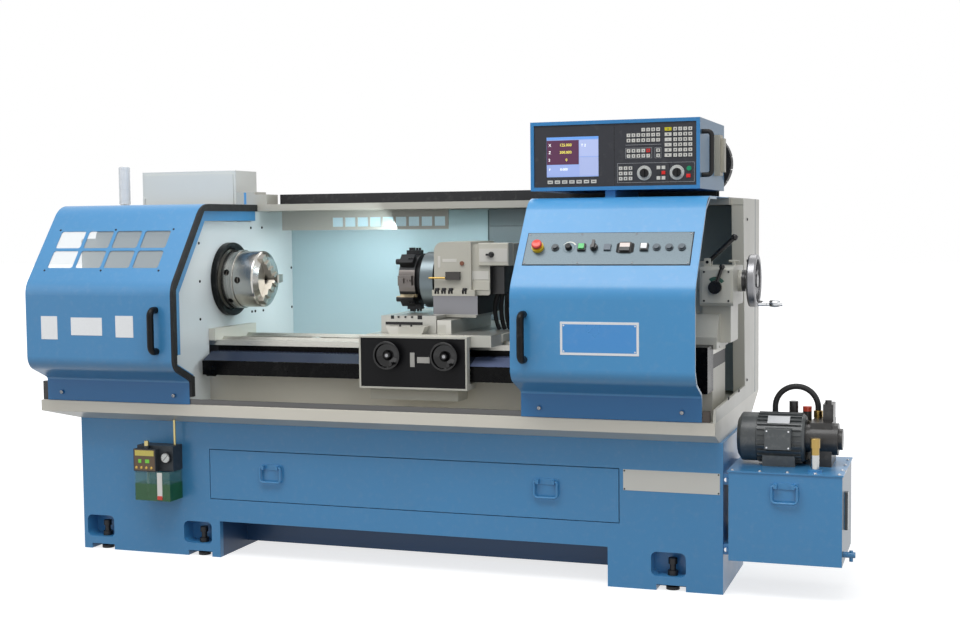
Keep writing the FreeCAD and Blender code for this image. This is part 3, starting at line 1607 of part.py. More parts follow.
# ---------------------------------------------------------------------------
# Tailstock
# ---------------------------------------------------------------------------
def make_tailstock():
    under = s.bed_top + s.saddle_gap
    back = s.bed_front * 2 + s.bed_width - s.tail_base_front
    base = prism("x", [
        (s.tail_base_front, under),
        (s.tail_base_front, under + 46),
        (s.tail_base_front + 64, s.tail_base_top),
        (back - 64, s.tail_base_top),
        (back, under + 46),
        (back, under),
    ], s.tail_base_left, s.tail_base_right - s.tail_base_left)
    pillar = block((s.tail_base_left + 20, s.spindle_y - 66, s.tail_base_top - overcut),
                   (s.tail_box_left - s.tail_base_left, 132, s.spindle_z - s.tail_base_top))
    barrel = rod((s.tail_base_left - 20, s.spindle_y, s.spindle_z), "x", s.tail_barrel_radius,
                 s.tail_box_left - s.tail_base_left + 30)
    box_right = s.tail_box_left + s.tail_box_length
    box = prism("x", round_rectangle(s.tail_box_front, s.tail_box_bottom, s.tail_box_depth,
                                     s.tail_box_height, 16), s.tail_box_left, s.tail_box_length)
    neck = block((s.tail_box_left, s.spindle_y - 90, under + 20),
                 (s.tail_box_length - 18, 180, s.tail_box_bottom - under - 10))
    plate = block((s.tail_box_left + 8, s.tail_box_front - 5, s.tail_box_bottom + 12),
                  (s.tail_box_length - 16, 6, s.tail_box_height - 24))
    collars = [rod((box_right - 1, s.spindle_y, s.spindle_z), "x", 42, 27),
               rod((box_right + 10, s.spindle_y, s.spindle_z), "x", 34, 30)]
    top = s.tail_box_bottom + s.tail_box_height
    ears = []
    for y in (clamp_y - 24, clamp_y + 14):
        ears.append(block((clamp_x - 12, y, top - overcut), (24, 10, 31)))
    screw = rod((clamp_x + 88, clamp_y + 70, top - overcut), "z", 6, 20)
    bar = rod((clamp_x + 68, clamp_y + 70, top + 17), "x", 4.5, 40)
    solid = fuse(base, pillar, barrel, box, neck, plate, screw, bar, *(collars + ears))
    bore = rod((s.tail_base_left - 21, s.spindle_y, s.spindle_z), "x", s.quill_radius + s.running_gap,
               s.tail_box_left - s.tail_base_left + 16)
    shaft_hole = rod((box_right - 40, s.spindle_y, s.spindle_z), "x", 15 + s.running_gap, 90)
    pivot = rod((clamp_x, clamp_y - 30, clamp_z), "y", 6 + s.running_gap, 60)
    selector = rod((gear_lever_x, s.tail_box_front - 6, gear_lever_z), "y", 7 + s.running_gap, 26)
    piece("tailstock", cut(solid, bore, shaft_hole, pivot, selector, *vee_grooves(s.saddle_gap)))


def make_quill():
    left = s.quill_left
    right = s.quill_left + s.quill_length
    piece("quill", turned("x", [
        (left, s.quill_taper_mouth),
        (left, s.quill_radius, 2),
        (right, s.quill_radius, 1),
        (right, 0),
        (left + s.quill_taper_depth, 0),
        (left + s.quill_taper_depth, s.quill_taper_end),
    ], spindle_line))


def make_tail_wheel():
    half = s.tail_rim_depth / 2
    inner = s.tail_wheel_radius - s.tail_rim_height
    rim = turned("x", [
        (-half, inner, 4),
        (-half, s.tail_wheel_radius, 7),
        (half, s.tail_wheel_radius, 7),
        (half, inner, 4),
    ], (s.tail_wheel_x, s.spindle_y, s.spindle_z))
    hub = rod((s.tail_wheel_x - 15, s.spindle_y, s.spindle_z), "x", 25, 30)
    shaft = rod((s.tail_wheel_x - 92, s.spindle_y, s.spindle_z), "x", 15, 80)
    spokes = []
    for i in range(3):
        spokes.append(radial_rod(s.tail_wheel_x, 30 + i * 120, 18, inner + 4, 8))
    handle = rod((s.tail_wheel_x, s.spindle_y, s.spindle_z - 88), "x", s.crank_grip_radius,
                 s.crank_grip_length + 18)
    piece("tail_handwheel", fuse(rim, hub, shaft, handle, *spokes))


def lever(x, y, z, angle, length, radius, ball):
    """A round arm rising from a pivot, leaning towards +X, with a ball on its end."""
    arm = rod((0, 0, 0), "z", radius, length)
    knob = document.addObject("Part::Sphere", "Ball")
    bind(knob, "Radius", ball)
    start_at(knob, (0, 0, length))
    both = fuse(arm, knob)
    tilt(both, (0, 1, 0), angle)
    return start_at(both, (x, y, z))


def make_tail_levers():
    front = s.tail_box_front - 5
    boss = rod((gear_lever_x, front - 20, gear_lever_z), "y", 25, 19.7)
    stub = rod((gear_lever_x, front - 2, gear_lever_z), "y", 7, 20)
    gear_arm = lever(gear_lever_x, front - 12, gear_lever_z, 19, 82, 7, 11)
    piece("gear_lever", fuse(boss, stub, gear_arm))
    hub = rod((clamp_x, clamp_y - 13.7, clamp_z), "y", 12, 27.4)
    pin = rod((clamp_x, clamp_y - 26, clamp_z), "y", 6, 52)
    piece("clamp_lever", fuse(hub, pin, lever(clamp_x, clamp_y, clamp_z, 47, 138, 9, 13)))


# ---------------------------------------------------------------------------
# Control box with its face, and the switch panel
# ---------------------------------------------------------------------------
def make_control_box():
    box = block((s.control_left, s.control_front, s.control_bottom),
                (s.control_length, s.control_depth, s.control_height))
    recess = block((s.control_left + s.control_rim, s.control_front - overcut,
                    s.control_bottom + s.control_rim),
                   (s.control_length - 2 * s.control_rim, s.face_recess + s.face_plate + overcut,
                    s.control_height - 2 * s.control_rim))
    bracket = block((s.bracket_left, s.control_front + 20, s.guard_top),
                    (s.bracket_width, 400, s.control_bottom - s.guard_top + overcut))
    side = s.control_left + s.control_length
    low = s.control_bottom + 52
    high = s.control_bottom + s.control_height - 52
    handle = bent_rod("y", [(side - 2, low), (side + 38, low, 16), (side + 38, high, 16), (side - 2, high)],
                      9, s.control_front + 34)
    connector = block((side - 1, s.control_front + s.connector_inset, s.control_bottom + s.connector_rise),
                      (s.connector_depth + 1, s.connector_length, s.connector_height))
    hood = block((side + s.connector_depth - 1, s.control_front + s.connector_inset + 12,
                  s.control_bottom + s.connector_rise + 14),
                 (15, s.connector_length - 24, s.connector_height - 28))
    piece("control_box", fuse(cut(box, recess), bracket, handle, connector, hood))


def key_places():
    """The keys' middles as (x, z, width), row by row."""
    keys = []
    upper = s.control_bottom + 225
    first = left_dial_x - 60
    for row in range(3):
        columns = range(3, 7) if row == 0 else range(7)
        for column in columns:
            keys.append((first + column * s.key_pitch, upper - row * s.key_row_pitch, s.key_width))
    for row in (4, 5):
        for column in (0, 1, 2, 3, 4, 6):
            keys.append((first + column * s.key_pitch, upper - row * s.key_row_pitch, s.key_width))
    for row in range(6):
        keys.append((first + 152, upper - row * s.key_row_pitch, s.key_width + 12))
        for column in range(4):
            keys.append((first + 179 + column * s.key_pitch, upper - row * s.key_row_pitch, s.key_width))
    for row in range(3):
        for column in range(3):
            keys.append((left_dial_x - 91 + column * s.key_pitch, s.dial_z + (1 - row) * s.key_row_pitch,
                         s.key_width))
    for row in range(3):
        for column in range(2):
            keys.append((left_dial_x + 55 + column * s.key_pitch, s.dial_z + (1 - row) * s.key_row_pitch,
                         s.key_width))
    for column in range(7):
        keys.append((s.screen_left + 15 + column * s.soft_key_pitch, s.screen_bottom - 19, s.soft_key_width))
    keys.append((right_dial_x + 44, s.dial_z - 13, s.key_width + 2))
    return keys


def make_control_face():
    front = s.control_front + s.face_recess
    plate = block((s.control_left + s.control_rim, front, s.control_bottom + s.control_rim),
                  (s.control_length - 2 * s.control_rim, s.face_plate, s.control_height - 2 * s.control_rim))
    window = block((s.screen_left, front - overcut, s.screen_bottom),
                   (s.screen_length, s.face_plate + 2 * overcut, s.screen_height))
    keys = []
    for x, z, width in key_places():
        keys.append(block((x - width / 2, front - s.key_rise, z - s.key_height / 2),
                          (width, s.key_rise + overcut, s.key_height)))
    rings = []
    bores = []
    for x in (left_dial_x, right_dial_x):
        rings.append(rod((x, front - 1, s.dial_z), "y", s.dial_radius, 2))
        bores.append(rod((x, front - 3, s.dial_z), "y", s.knob_shaft + s.running_gap, s.face_plate + 6))
    round_key = rod((right_dial_x + 46, front - 4, s.dial_z + 14), "y", 8, 5)
    piece("control_face", cut(fuse(plate, round_key, *(keys + rings)), window, *bores))
    screen = block((s.screen_left + s.saddle_gap, front + 1, s.screen_bottom + s.saddle_gap),
                   (s.screen_length - 2 * s.saddle_gap, s.face_plate - 1,
                    s.screen_height - 2 * s.saddle_gap))
    piece("control_screen", screen)
    for label, x in (("feed_override_knob", left_dial_x), ("speed_override_knob", right_dial_x)):
        knob = turned("y", [
            (s.face_plate + 0.5, 0),
            (s.face_plate + 0.5, s.knob_shaft),
            (-1.3, s.knob_shaft),
            (-1.3, s.knob_radius),
            (-s.knob_height * 0.55, s.knob_radius - 1, 2),
            (-s.knob_height * 0.55, 0),
        ], (x, front - 1, s.dial_z))
        rib = block((x - 3.5, front - s.knob_height, s.dial_z - s.knob_radius + 2),
                    (7, s.knob_height * 0.6, 2 * s.knob_radius - 4))
        piece(label, fuse(knob, rib))


def collar(x, outer, height, inner=0):
    """A ring, or a disc where it has no bore, standing on the switch panel laid flat."""
    return turned("z", [(2, inner), (2, outer), (s.panel_sheet + height, outer, 1),
                        (s.panel_sheet + height, inner)], (x, s.switch_line, 0))


def button_frame(x):
    """A raised square frame for a push button, standing on the switch panel laid flat."""
    half = s.button_side / 2 + s.button_frame
    opening = s.button_side / 2 + s.button_gap
    low = s.switch_line - half
    outer = block((x - half, low, 2), (2 * half, 2 * half, s.panel_sheet + 7))
    well = block((x - opening, s.switch_line - opening, s.panel_sheet + 0.2),
                 (2 * opening, 2 * opening, 20))
    return cut(outer, well)


def make_switch_panel():
    line = s.switch_line
    plate = prism("z", round_rectangle(s.panel_left, s.panel_bottom, s.panel_length, s.panel_height, 3),
                  0, s.panel_sheet)
    gap = s.running_gap
    parts = [
        plate,
        collar(s.stop_x, 23, 12, 11 + gap),
        collar(s.lamp_x, s.collar_radius, 5),
        collar(s.lamp_x, 10, 13),
        collar(s.speed_knob_x, 22, 1, 3 + gap),
        button_frame(s.start_button_x),
        collar(s.selector_x, s.collar_radius, 7, 4 + gap),
        block((s.indicator_x - 13, line - 13, 2), (26, 26, 8)),
        block((s.socket_x - 23, line - 24, 2), (46, 46, 5)),
        block((s.socket_x - 19, line - 20, 2), (38, 36, 13)),
        rod((s.socket_x - 19, line + 16, 11), "x", 4, 38),
        button_frame(s.white_button_x),
    ]
    for i in range(3):
        x = s.lens_x + i * s.lens_pitch
        parts.append(collar(x, s.collar_radius, 5))
        parts.append(collar(x, 11, 11))
    piece("switch_panel", on_slope(fuse(*parts)))


def make_switches():
    sheet_top = s.panel_sheet
    stop = turned("z", [
        (sheet_top + 6, 0),
        (sheet_top + 6, 11),
        (sheet_top + 19, 11),
        (sheet_top + 21, s.stop_radius),
        (sheet_top + 31, s.stop_radius, 6),
        (sheet_top + 34, 0),
    ])
    piece("emergency_stop", on_slope(stop, s.stop_x, s.switch_line))
    for label, x in (("start_button", s.start_button_x), ("white_button", s.white_button_x)):
        half = s.button_side / 2
        face = round_rectangle(x - half, s.switch_line - half, s.button_side, s.button_side, 2)
        button = prism("z", face, sheet_top + s.button_travel + 0.5, s.button_rise)
        piece(label, on_slope(button))
    knob = turned("z", [
        (sheet_top + 0.4, 0),
        (sheet_top + 0.4, 3),
        (sheet_top + 1.4, 3),
        (sheet_top + 1.4, 13),
        (sheet_top + 16, 11, 2),
        (sheet_top + 16, 0),
    ])
    mark = block((-1.5, 0, sheet_top + 14), (3, 10, 3))
    piece("speed_knob", on_slope(fuse(knob, mark), s.speed_knob_x, s.switch_line))
    base = turned("z", [
        (sheet_top + 0.4, 0),
        (sheet_top + 0.4, 4),
        (sheet_top + 7.3, 4),
        (sheet_top + 7.3, 13, 1),
        (sheet_top + 14, 13, 1),
        (sheet_top + 14, 0),
    ])
    arm = block((-5, -13, sheet_top + 12), (10, 34, 12))
    piece("selector_lever", on_slope(fuse(base, arm), s.selector_x, s.switch_line))


# ---------------------------------------------------------------------------
# Hydraulic unit beside the base
# ---------------------------------------------------------------------------
def make_tank():
    lid_top = s.tank_bottom + s.tank_height + s.tank_lid
    right = s.tank_left + s.tank_length
    back = s.tank_front + s.tank_depth
    over = s.tank_lid_overhang
    shell = block((s.tank_left, s.tank_front, s.tank_bottom), (s.tank_length, s.tank_depth, s.tank_height))
    lid = block((s.tank_left - over, s.tank_front - over, s.tank_bottom + s.tank_height),
                (s.tank_length + 2 * over, s.tank_depth + 2 * over, s.tank_lid))
    flanges = []
    for z in (s.tank_bottom + 14, s.tank_bottom + s.tank_height - 54):
        flanges.append(block((s.tank_left - s.tank_flange, s.base_front + 6, z),
                             (s.tank_flange + 1, s.tank_depth - 60, 40)))
        flanges.append(rod((s.tank_left - s.tank_flange / 2, s.base_front - 4, z + 20), "y", 8, 12))
    neck = turned("z", [
        (lid_top - 1, 0),
        (lid_top - 1, 26),
        (lid_top + 8, 26),
        (lid_top + 8, 15),
        (lid_top + 88, 15),
        (lid_top + 88, 18),
        (lid_top + 124, 18, 3),
        (lid_top + 124, 0),
    ], (right - 102, s.tank_front + 56, 0))
    gauge = block((right - 1, s.tank_front + 90, s.tank_bottom + 120), (14, 26, 140))
    cock = rod((right - 1, s.tank_front + 60, s.tank_bottom + 36), "x", 11, 44)
    tap = rod((right + 28, s.tank_front + 60, s.tank_bottom + 12), "z", 7, 40)
    handle_place = (s.tank_left + s.tank_length / 2, s.tank_front,
                    s.tank_bottom + s.tank_height - s.tank_handle_below_top)
    ears = bail_ears(*handle_place)
    piece("hydraulic_tank", fuse(shell, lid, neck, gauge, cock, tap, ears, *flanges))
    piece("tank_handle", bail(*handle_place))


def make_pump_motor():
    length = s.motor_cowl_length + s.motor_body_length
    body = turned("x", [
        (0, 0),
        (0, s.motor_radius - 18),
        (14, s.motor_radius + 4, 6),
        (s.motor_cowl_length, s.motor_radius + 4),
        (s.motor_cowl_length, s.motor_radius),
        (length - 8, s.motor_radius),
        (length - 8, s.motor_radius + 3),
        (length, s.motor_radius - 6),
        (length, 0),
    ])
    document.recompute()
    half = 1.6
    inside = s.motor_radius - 2
    outside = s.motor_radius + s.motor_fin_height
    fin_sketch = new_sketch(body, "YZ_Plane", s.motor_cowl_length + 4)
    outline(fin_sketch, [(inside, -half), (outside, -half), (outside, half), (inside, half)])
    fin = body.newObject("PartDesign::Pad", "Fin")
    fin.Profile = fin_sketch
    bind(fin, "Length", s.motor_body_length - 16)
    turn_axis = [feature for feature in body.Origin.OriginFeatures if feature.Role == "X_Axis"][0]
    fins = body.newObject("PartDesign::PolarPattern", "Fins")
    fins.Originals = [fin]
    fins.Axis = (turn_axis, [""])
    fins.Angle = WHOLE_TURN
    fins.Occurrences = int(s.motor_fin_count)
    body.Tip = fins
    start_at(body, (s.motor_left, s.motor_y, s.motor_z))
    lid_top = s.tank_bottom + s.tank_height + s.tank_lid
    foot = block((s.motor_left + 96, s.motor_y - 76, lid_top), (120, 152, s.motor_z - lid_top - 60))
    terminals = block((s.motor_left + 110, s.motor_y - s.motor_radius - 36, s.motor_z - 30), (96, 60, 76))
    piece("pump_motor", fuse(body, foot, terminals))


def make_pump():
    left = s.motor_left + s.motor_cowl_length + s.motor_body_length
    lid_top = s.tank_bottom + s.tank_height + s.tank_lid
    coupling = rod((left, s.motor_y, s.motor_z), "x", s.pump_radius - 8, 22)
    pump = rod((left + 19, s.motor_y, s.motor_z), "x", s.pump_radius, s.pump_length + 40)
    cover = rod((left + s.pump_length + 50, s.motor_y, s.motor_z), "x", s.pump_radius - 20, 24)
    lower = block((left + 19, s.motor_y - 44, lid_top), (78, 185, 164))
    upper = block((left + 59, s.motor_y + 16, lid_top + 163), (38, 100, 64))
    manifold = block((left - 76, s.motor_y + 108, lid_top), (96, 58, 150))
    solenoids = [
        rod((left - 60, s.motor_y + 118, lid_top + 150), "z", 17, 74),
        rod((left - 10, s.motor_y + 128, lid_top + 150), "z", 17, 54),
        rod((left + 78, s.motor_y + 30, lid_top + 226), "z", 12, 16),
    ]
    piece("hydraulic_pump", fuse(coupling, pump, cover, lower, upper, manifold, *solenoids))


def make_hose():
    lid_top = s.tank_bottom + s.tank_height + s.tank_lid
    corners = [
        (s.hose_left_x, lid_top),
        (s.hose_left_x, s.hose_top, 80),
        (s.hose_right_x, s.hose_top, 80),
        (s.hose_right_x, s.hose_right_end),
    ]
    fitting = rod((s.hose_left_x, s.hose_y, lid_top), "z", s.hose_radius + 6, 26)
    other = rod((s.hose_right_x, s.hose_y, s.hose_right_end), "z", s.hose_radius + 6, 26)
    piece("pressure_hose", fuse(bent_rod("y", corners, s.hose_radius, s.hose_y), fitting, other))


# ---------------------------------------------------------------------------
# Lubricator on the base's front
# ---------------------------------------------------------------------------
def make_lubricator():
    front = s.base_front - s.lubricator_depth
    top = s.lubricator_bottom + s.lubricator_height
    body = block((s.lubricator_left, front, s.lubricator_bottom),
                 (s.lubricator_length, s.lubricator_depth, s.lubricator_height))
    head = block((s.lubricator_left, front - s.lubricator_head_depth, s.lubricator_bottom),
                 (s.lubricator_head_length, s.lubricator_head_depth + 1, s.lubricator_height - 12))
    gauge = rod((s.lubricator_left + 142, front - 12, s.lubricator_bottom + 58), "y", 23, 13)
    plunger = rod((s.lubricator_left + 54, front - 12, top - 14), "z", 10, 36)
    tube = rod((s.lubricator_left + 160, s.base_front - 37, top - 1), "z", 5, 109)
    piece("lubricator", fuse(body, head, gauge, plunger, tube))
    low = s.lubricator_bottom - s.reservoir_height
    wall = s.reservoir_wall
    tank = block((s.lubricator_left + 2, front - 26, low),
                 (s.lubricator_length - 4, s.lubricator_depth + 26, s.reservoir_height))
    hollow = block((s.lubricator_left + 2 + wall, front - 26 + wall, low + wall),
                   (s.lubricator_length - 4 - 2 * wall, s.lubricator_depth + 26 - 2 * wall,
                    s.reservoir_height))
    piece("lubricator_reservoir", cut(tank, hollow))


# ---------------------------------------------------------------------------
# Make every sub-part, check it and write it
# ---------------------------------------------------------------------------
make_base()
make_levelling_screws()
make_drawer()
make_tray()
make_bed()
make_screw_cover()
make_headstock()
make_guard_ring()
make_spindle()
make_chuck()
make_jaws()
make_wall()
make_left_door()
make_right_door()
make_roof()
make_rear_guard()
make_end_wall()
make_lamp()
make_cabinet()
make_beacon()
make_cable_track()
make_drag_chain()
make_saddle()
make_apron()
make_apron_wheels()
make_cross_slide()
make_turret_housing()
make_turret_disc()
make_tailstock()
make_quill()
make_tail_wheel()
make_tail_levers()
make_control_box()
make_control_face()
make_switch_panel()
make_switches()
make_tank()
make_pump_motor()
make_pump()
make_hose()
make_lubricator()
document.recompute()

for thing in document.Objects:
    if "Invalid" in thing.State or "Error" in thing.State:
        raise RuntimeError("%s (%s) did not recompute" % (thing.Name, thing.Label))
for thing in pieces:
    if thing.Shape.isNull() or not thing.Shape.isValid():
        raise RuntimeError("%s has no valid shape" % thing.Label)

os.makedirs("parts", exist_ok=True)
for thing in pieces:
    thing.Shape.exportStep("parts/%s.step" % thing.Label)
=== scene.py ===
import bpy
import bmesh
import math
from mathutils import Matrix, Vector


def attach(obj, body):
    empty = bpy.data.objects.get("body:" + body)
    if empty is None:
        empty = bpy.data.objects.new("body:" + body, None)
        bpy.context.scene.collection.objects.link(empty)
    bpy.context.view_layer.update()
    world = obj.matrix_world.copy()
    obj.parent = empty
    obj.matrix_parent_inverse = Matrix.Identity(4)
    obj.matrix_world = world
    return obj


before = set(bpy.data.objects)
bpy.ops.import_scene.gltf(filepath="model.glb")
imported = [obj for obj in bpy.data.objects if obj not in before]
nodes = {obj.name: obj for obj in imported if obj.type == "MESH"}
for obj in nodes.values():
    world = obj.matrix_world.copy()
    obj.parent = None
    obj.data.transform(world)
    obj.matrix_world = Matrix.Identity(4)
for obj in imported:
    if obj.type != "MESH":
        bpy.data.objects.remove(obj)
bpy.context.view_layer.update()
scene = bpy.context.scene

# Places are given in millimetres from the chip tray's front left corner, as in the CAD source.
DATUM = Vector((1691, 473, 0))
SPINDLE_Y, SPINDLE_Z = 410, 1163
GUARD_FRONT = -125
# the guards' sloping face: its angle, and the knee at its foot
SLOPE = math.radians(53)
KNEE = Vector((0, GUARD_FRONT, 1148.5))
# ways that pieces stand out
FRONT = (0, -1, 0)
RIGHT = (1, 0, 0)
UP = (0, 0, 1)
NORMAL = (0, -math.sin(SLOPE), math.cos(SLOPE))


def place(x, y, z):
    return (Vector((x, y, z)) - DATUM) / 1000


def on_slope(x, along, height=0):
    """A point on the guards' sloping face: along it from the knee, and height above it."""
    return (x, KNEE.y + along * math.cos(SLOPE) - height * math.sin(SLOPE),
            KNEE.z + along * math.sin(SLOPE) + height * math.cos(SLOPE))


def upright(x0, x1, z0, z1, y):
    """Corners of a rectangle that faces the front."""
    return [(x0, y, z0), (x1, y, z0), (x1, y, z1), (x0, y, z1)]


def srgb(r, g, b):
    """A colour as it renders, 0 to 255, as linear values."""
    values = []
    for v in (r, g, b):
        v /= 255
        values.append(v / 12.92 if v <= 0.04045 else ((v + 0.055) / 1.055) ** 2.4)
    return (*values, 1)


def shade(c, k):
    return (c[0] * k, c[1] * k, c[2] * k, 1)


# ---------------------------------------------------------------- materials
PAINT_DUST = (0.62, 0.60, 0.56, 1)
PLASTIC_DUST = (0.45, 0.44, 0.42, 1)
# radii in metres of the edges that the bump softens
PAINTED_EDGE = 0.0012
BARE_EDGE = 0.0008


class Tree:
    """Short calls for making a material's nodes."""

    def __init__(self, name):
        self.material = bpy.data.materials.new(name)
        self.material.use_nodes = True
        self.tree = self.material.node_tree
        self.tree.nodes.clear()
        out = self.tree.nodes.new("ShaderNodeOutputMaterial")
        self.shader = self.tree.nodes.new("ShaderNodeBsdfPrincipled")
        self.tree.links.new(self.shader.outputs[0], out.inputs[0])
        self.coord = self.tree.nodes.new("ShaderNodeTexCoord").outputs["Object"]
        self.split = None
        self.slope = None

    def put(self, socket, value):
        if isinstance(value, bpy.types.NodeSocket):
            self.tree.links.new(value, socket)
        elif value is not None:
            socket.default_value = value

    def feed(self, name, value):
        """A value, or another node's output, for one of the shader's inputs."""
        self.put(self.shader.inputs[name], value)

    def node(self, kind, inputs):
        """A new node with its inputs, which are given by name or number."""
        n = self.tree.nodes.new("ShaderNode" + kind)
        for socket, value in inputs.items():
            self.put(n.inputs[socket], value)
        return n

    def math(self, kind, a, b=None):
        n = self.node("Math", {0: a, 1: b})
        n.operation = kind
        return n.outputs[0]

    def xyz(self, slope=False):
        """x, y, z in metres, or x, along and height on the guards' slope."""
        if self.split is None:
            self.split = list(self.node("SeparateXYZ", {0: self.coord}).outputs)
        if not slope:
            return self.split
        if self.slope is None:
            origin = place(0, KNEE.y, KNEE.z)
            y = self.math("SUBTRACT", self.split[1], origin.y)
            z = self.math("SUBTRACT", self.split[2], origin.z)
            along = self.math("ADD", self.math("MULTIPLY", y, math.cos(SLOPE)),
                              self.math("MULTIPLY", z, math.sin(SLOPE)))
            height = self.math("SUBTRACT", self.math("MULTIPLY", z, math.cos(SLOPE)),
                               self.math("MULTIPLY", y, math.sin(SLOPE)))
            self.slope = [self.split[0], along, height]
        return self.slope

    def inside(self, low, high, slope=False):
        """1 inside a box given in millimetres, 0 outside; None leaves that side open."""
        start = (DATUM.x, 0, 0) if slope else DATUM
        mask = None
        for axis, a, b, zero in zip(self.xyz(slope), low, high, start):
            for kind, edge in (("GREATER_THAN", a), ("LESS_THAN", b)):
                if edge is not None:
                    side = self.math(kind, axis, (edge - zero) / 1000)
                    mask = side if mask is None else self.math("MULTIPLY", mask, side)
        return mask

    def near(self, centre, radius, axes):
        """1 within a radius of a point, measured along the given axes only."""
        total = None
        for axis in axes:
            d = self.math("SUBTRACT", self.xyz()[axis], (centre[axis] - DATUM[axis]) / 1000)
            square = self.math("MULTIPLY", d, d)
            total = square if total is None else self.math("ADD", total, square)
        return self.math("LESS_THAN", total, (radius / 1000) ** 2)

    def noise(self, scale, detail, rough, stretch=None, coord=None):
        where = coord or self.coord
        if stretch:
            where = self.node("Mapping", {0: where, "Scale": stretch}).outputs[0]
        inputs = {"Scale": scale, "Detail": detail, "Roughness": rough, "Vector": where}
        return self.node("TexNoise", inputs).outputs["Fac"]

    def band(self, value, low, high, to_low=0.0, to_high=1.0):
        """A number moved from one range to another."""
        return self.node("MapRange", {0: value, 1: low, 2: high, 3: to_low, 4: to_high}).outputs[0]

    def mix(self, share, a, b):
        """A colour between two colours."""
        n = self.node("Mix", {0: share})
        n.data_type = "RGBA"
        self.put(n.inputs[6], a)
        self.put(n.inputs[7], b)
        return n.outputs[2]

    def blend(self, share, a, b):
        """A number between two numbers."""
        return self.node("Mix", {0: share, 2: a, 3: b}).outputs[0]

    def relief(self, height, strength, distance, edge):
        """Bump on the shader, over softened edges."""
        bevel = self.node("Bevel", {"Radius": edge})
        bevel.samples = 4
        inputs = {"Strength": strength, "Distance": distance, "Height": height, "Normal": bevel.outputs[0]}
        self.feed("Normal", self.node("Bump", inputs).outputs[0])

    def dress(self, base, roughness, zones=(), metal=0.0):
        """Colour, roughness and metallic on the shader, with places of other finish.

        Each zone is (mask maker, colour, roughness, metallic), and may leave the metallic out."""
        for make_mask, colour, rough, *own_metal in zones:
            mask = make_mask(self)
            base = self.mix(mask, base, colour)
            roughness = self.blend(mask, roughness, rough)
            if own_metal:
                metal = self.blend(mask, metal, own_metal[0])
        self.feed("Base Color", base)
        self.feed("Roughness", roughness)
        self.feed("Metallic", metal)


def paint(name, colour, rough=0.36, peel=0.05, zones=(), coat=0.25, dust=0.05, metal=0.0, wear=0.0, shine=0.5):
    """Sprayed paint: slight clouding, orange peel and dust."""
    t = Tree(name)
    clouds = t.noise(1.6, 4, 0.55)
    fine = t.noise(38, 5, 0.6)
    base = t.mix(t.band(clouds, 0.3, 0.7), shade(colour, 0.965), shade(colour, 1.03))
    base = t.mix(t.math("MULTIPLY", t.band(fine, 0.52, 0.78), dust), base, PAINT_DUST)
    if wear:
        scuff = t.noise(9, 8, 0.72)
        base = t.mix(t.math("MULTIPLY", t.band(scuff, 0.6, 0.72), wear), base, shade(colour, 0.55))
    t.dress(base, t.band(t.noise(7, 4, 0.6), 0.3, 0.7, rough - 0.05, rough + 0.06), zones, metal)
    t.feed("Specular IOR Level", shine)
    t.feed("Coat Weight", coat)
    t.feed("Coat Roughness", 0.18)
    t.relief(t.noise(260, 2, 0.5), peel, 0.0006, PAINTED_EDGE)
    return t.material


def bare_metal(name, colour, rough=0.3, grain=(1, 60, 60), scale=40, depth=0.06, zones=(), stain=0.12, metal=1.0):
    """Ground, brushed or machined metal: fine lines along one way, with faint stains."""
    t = Tree(name)
    lines = t.noise(scale, 4, 0.65, grain)
    clouds = t.noise(4.5, 5, 0.6)
    base = t.mix(t.band(lines, 0.3, 0.7), shade(colour, 0.86), shade(colour, 1.1))
    base = t.mix(t.math("MULTIPLY", t.band(clouds, 0.5, 0.75), stain), base, shade(colour, 0.45))
    t.dress(base, t.band(lines, 0.25, 0.75, rough - 0.07, rough + 0.09), zones, metal)
    t.relief(lines, depth, 0.0005, BARE_EDGE)
    return t.material


def turned_metal(name, colour, rough, dark, zones=()):
    """Metal turned on a lathe: rings round the spindle line on faces, and round the bar on its sides."""
    t = Tree(name)
    x, y, z = t.xyz()
    dy = t.math("SUBTRACT", y, (SPINDLE_Y - DATUM.y) / 1000)
    dz = t.math("SUBTRACT", z, SPINDLE_Z / 1000)
    radius = t.math("SQRT", t.math("ADD", t.math("MULTIPLY", dy, dy), t.math("MULTIPLY", dz, dz)))
    rings = t.noise(900, 2, 0.6, coord=t.node("CombineXYZ", {0: x, 1: radius}).outputs[0])
    clouds = t.noise(14, 4, 0.6)
    base = t.mix(t.band(rings, 0.3, 0.7), shade(colour, 0.93), shade(colour, 1.05))
    base = t.mix(t.math("MULTIPLY", t.band(clouds, 0.5, 0.8), dark), base, shade(colour, 0.5))
    t.dress(base, t.band(rings, 0.25, 0.75, rough - 0.06, rough + 0.08), zones, 1.0)
    t.relief(rings, 0.1, 0.0003, BARE_EDGE)
    return t.material


def moulded(name, colour, rough=0.45, grain=0.12, zones=(), coat=0.0, shine=0.4):
    """Moulded plastic or rubber with a fine grain."""
    t = Tree(name)
    clouds = t.noise(5, 4, 0.6)
    base = t.mix(t.band(clouds, 0.3, 0.75), shade(colour, 0.92), shade(colour, 1.08))
    dust = t.noise(24, 6, 0.7)
    base = t.mix(t.math("MULTIPLY", t.band(dust, 0.55, 0.8), 0.07), base, PLASTIC_DUST)
    t.dress(base, t.band(t.noise(30, 3, 0.6), 0.3, 0.7, rough - 0.06, rough + 0.08), zones)
    t.feed("Specular IOR Level", shine)
    t.feed("Coat Weight", coat)
    t.relief(t.noise(900, 2, 0.6), grain, 0.0004, BARE_EDGE)
    return t.material


